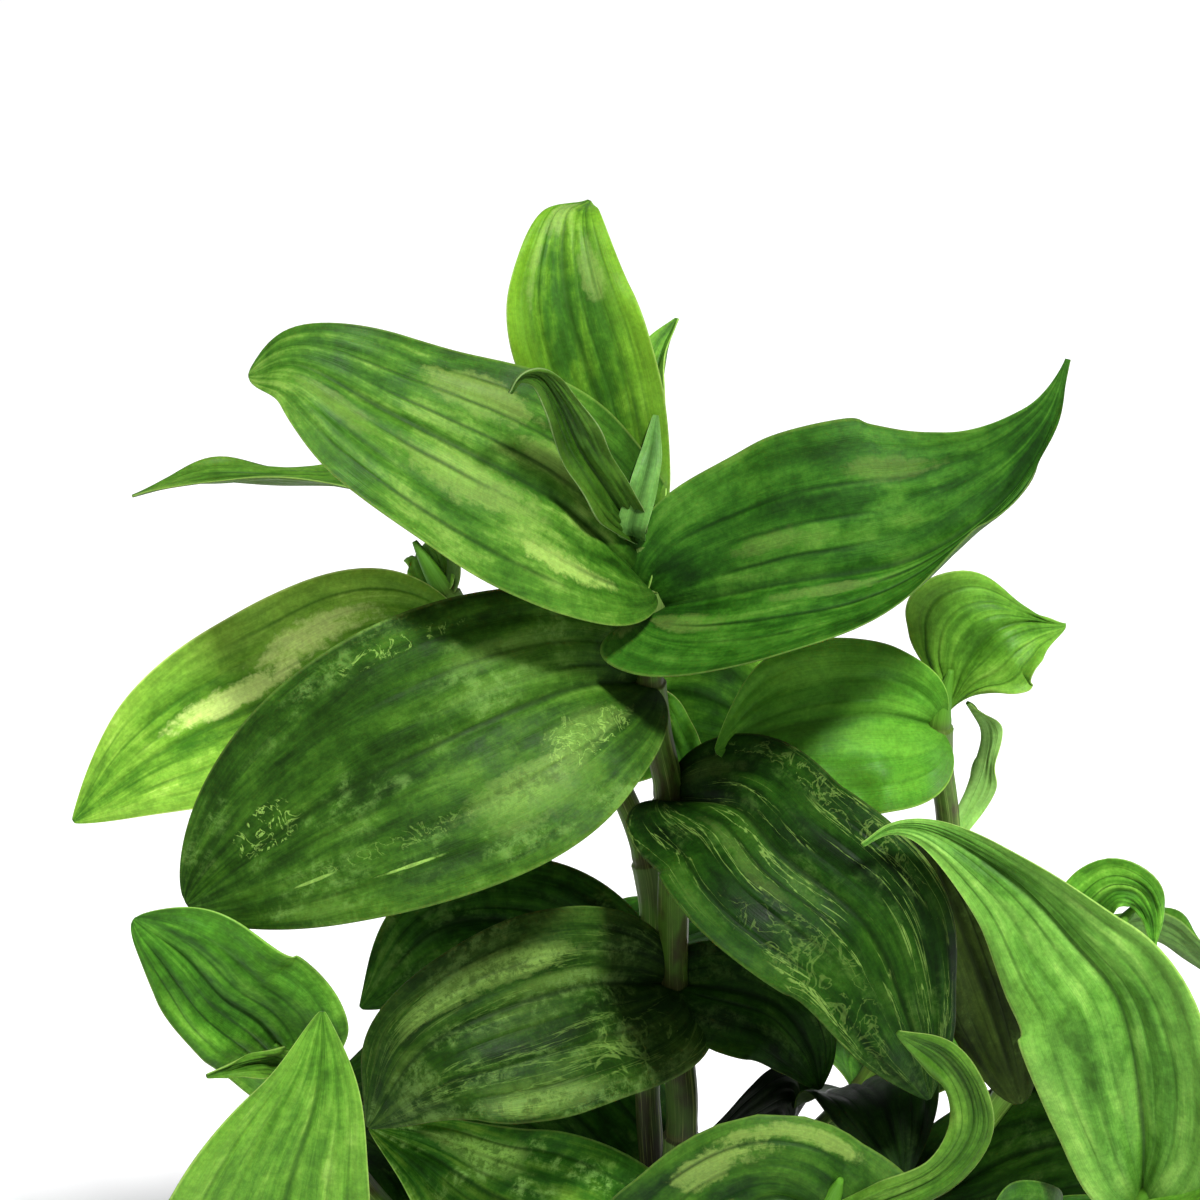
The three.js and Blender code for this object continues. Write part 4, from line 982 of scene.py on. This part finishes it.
def floor_piece():
    """A plain pale floor, which isn't part of the object."""
    mesh = bpy.data.meshes.new("floor")
    corners = [(x * FLOOR_REACH, y * FLOOR_REACH, 0) for x, y in ((-1, -1), (1, -1), (1, 1), (-1, 1))]
    mesh.from_pydata(corners, [], [(0, 1, 2, 3)])
    paint = Paint("pale_floor")
    here = paint.node("TexCoord", {}).outputs["Object"]
    colour = paint.shade(srgb(*FLOOR_WHITE), paint.step(paint.noise(here, 3.0, 3.0), 0.3, 0.7, 0.99, 1.0))
    mesh.materials.append(paint.finish(colour, 0.8, paint.noise(here, 600.0), 0.0001, 0.1))
    floor = bpy.data.objects.new("floor", mesh)
    bpy.context.collection.objects.link(floor)


def aim(thing, place, target):
    """Puts a light or camera at a place, looking at a target, both in millimetres."""
    thing.location = Vector(place) * MM
    thing.rotation_euler = (Vector(target) - Vector(place)).to_track_quat("-Z", "Y").to_euler()
    bpy.context.collection.objects.link(thing)


def soft_light(name, azimuth, elevation, distance, size, power):
    """A square light aimed at the plant. Azimuth is from -Y towards +X, both angles in degrees."""
    lamp = bpy.data.lights.new(name, "AREA")
    lamp.size = size * MM
    lamp.energy = power
    turn, rise = math.radians(azimuth), math.radians(elevation)
    way = Vector((math.sin(turn) * math.cos(rise), -math.cos(turn) * math.cos(rise), math.sin(rise)))
    aim(bpy.data.objects.new(name, lamp), Vector(PLANT_MIDDLE) + way * distance, PLANT_MIDDLE)


def studio():
    """Lights, world, camera and a plain view transform."""
    soft_light("key", *KEY_LIGHT)
    soft_light("fill", *FILL_LIGHT)
    world = bpy.data.worlds.new("studio")
    world.use_nodes = True
    world.node_tree.nodes["Background"].inputs["Color"].default_value = srgb(*SKY_WHITE)
    world.node_tree.nodes["Background"].inputs["Strength"].default_value = SKY_STRENGTH
    scene = bpy.context.scene
    scene.world = world
    scene.view_settings.view_transform = "Standard"
    lens = bpy.data.cameras.new("camera")
    lens.sensor_width = SENSOR_MM
    lens.lens = SENSOR_MM * FOCAL_PX / FRAME_PX
    lens.clip_start = 0.01
    lens.clip_end = 20
    tilt = math.radians(CAMERA_ELEVATION)
    back = Vector((0, -math.cos(tilt), math.sin(tilt)))
    camera = bpy.data.objects.new("camera", lens)
    aim(camera, Vector(CAMERA_AIM) + back * CAMERA_DISTANCE, CAMERA_AIM)
    scene.camera = camera


studio()
floor_piece()
pot_piece()
soil_edge = soil_piece()
crumb_piece(soil_edge)
for number, (stem_name, (stem_radius, stem_nodes)) in enumerate(STEMS.items()):
    stem_piece(f"stem_{stem_name}", stem_radius, stem_nodes, number)
for number, leaf_row in enumerate(LEAVES):
    leaf_piece(leaf_row, number)
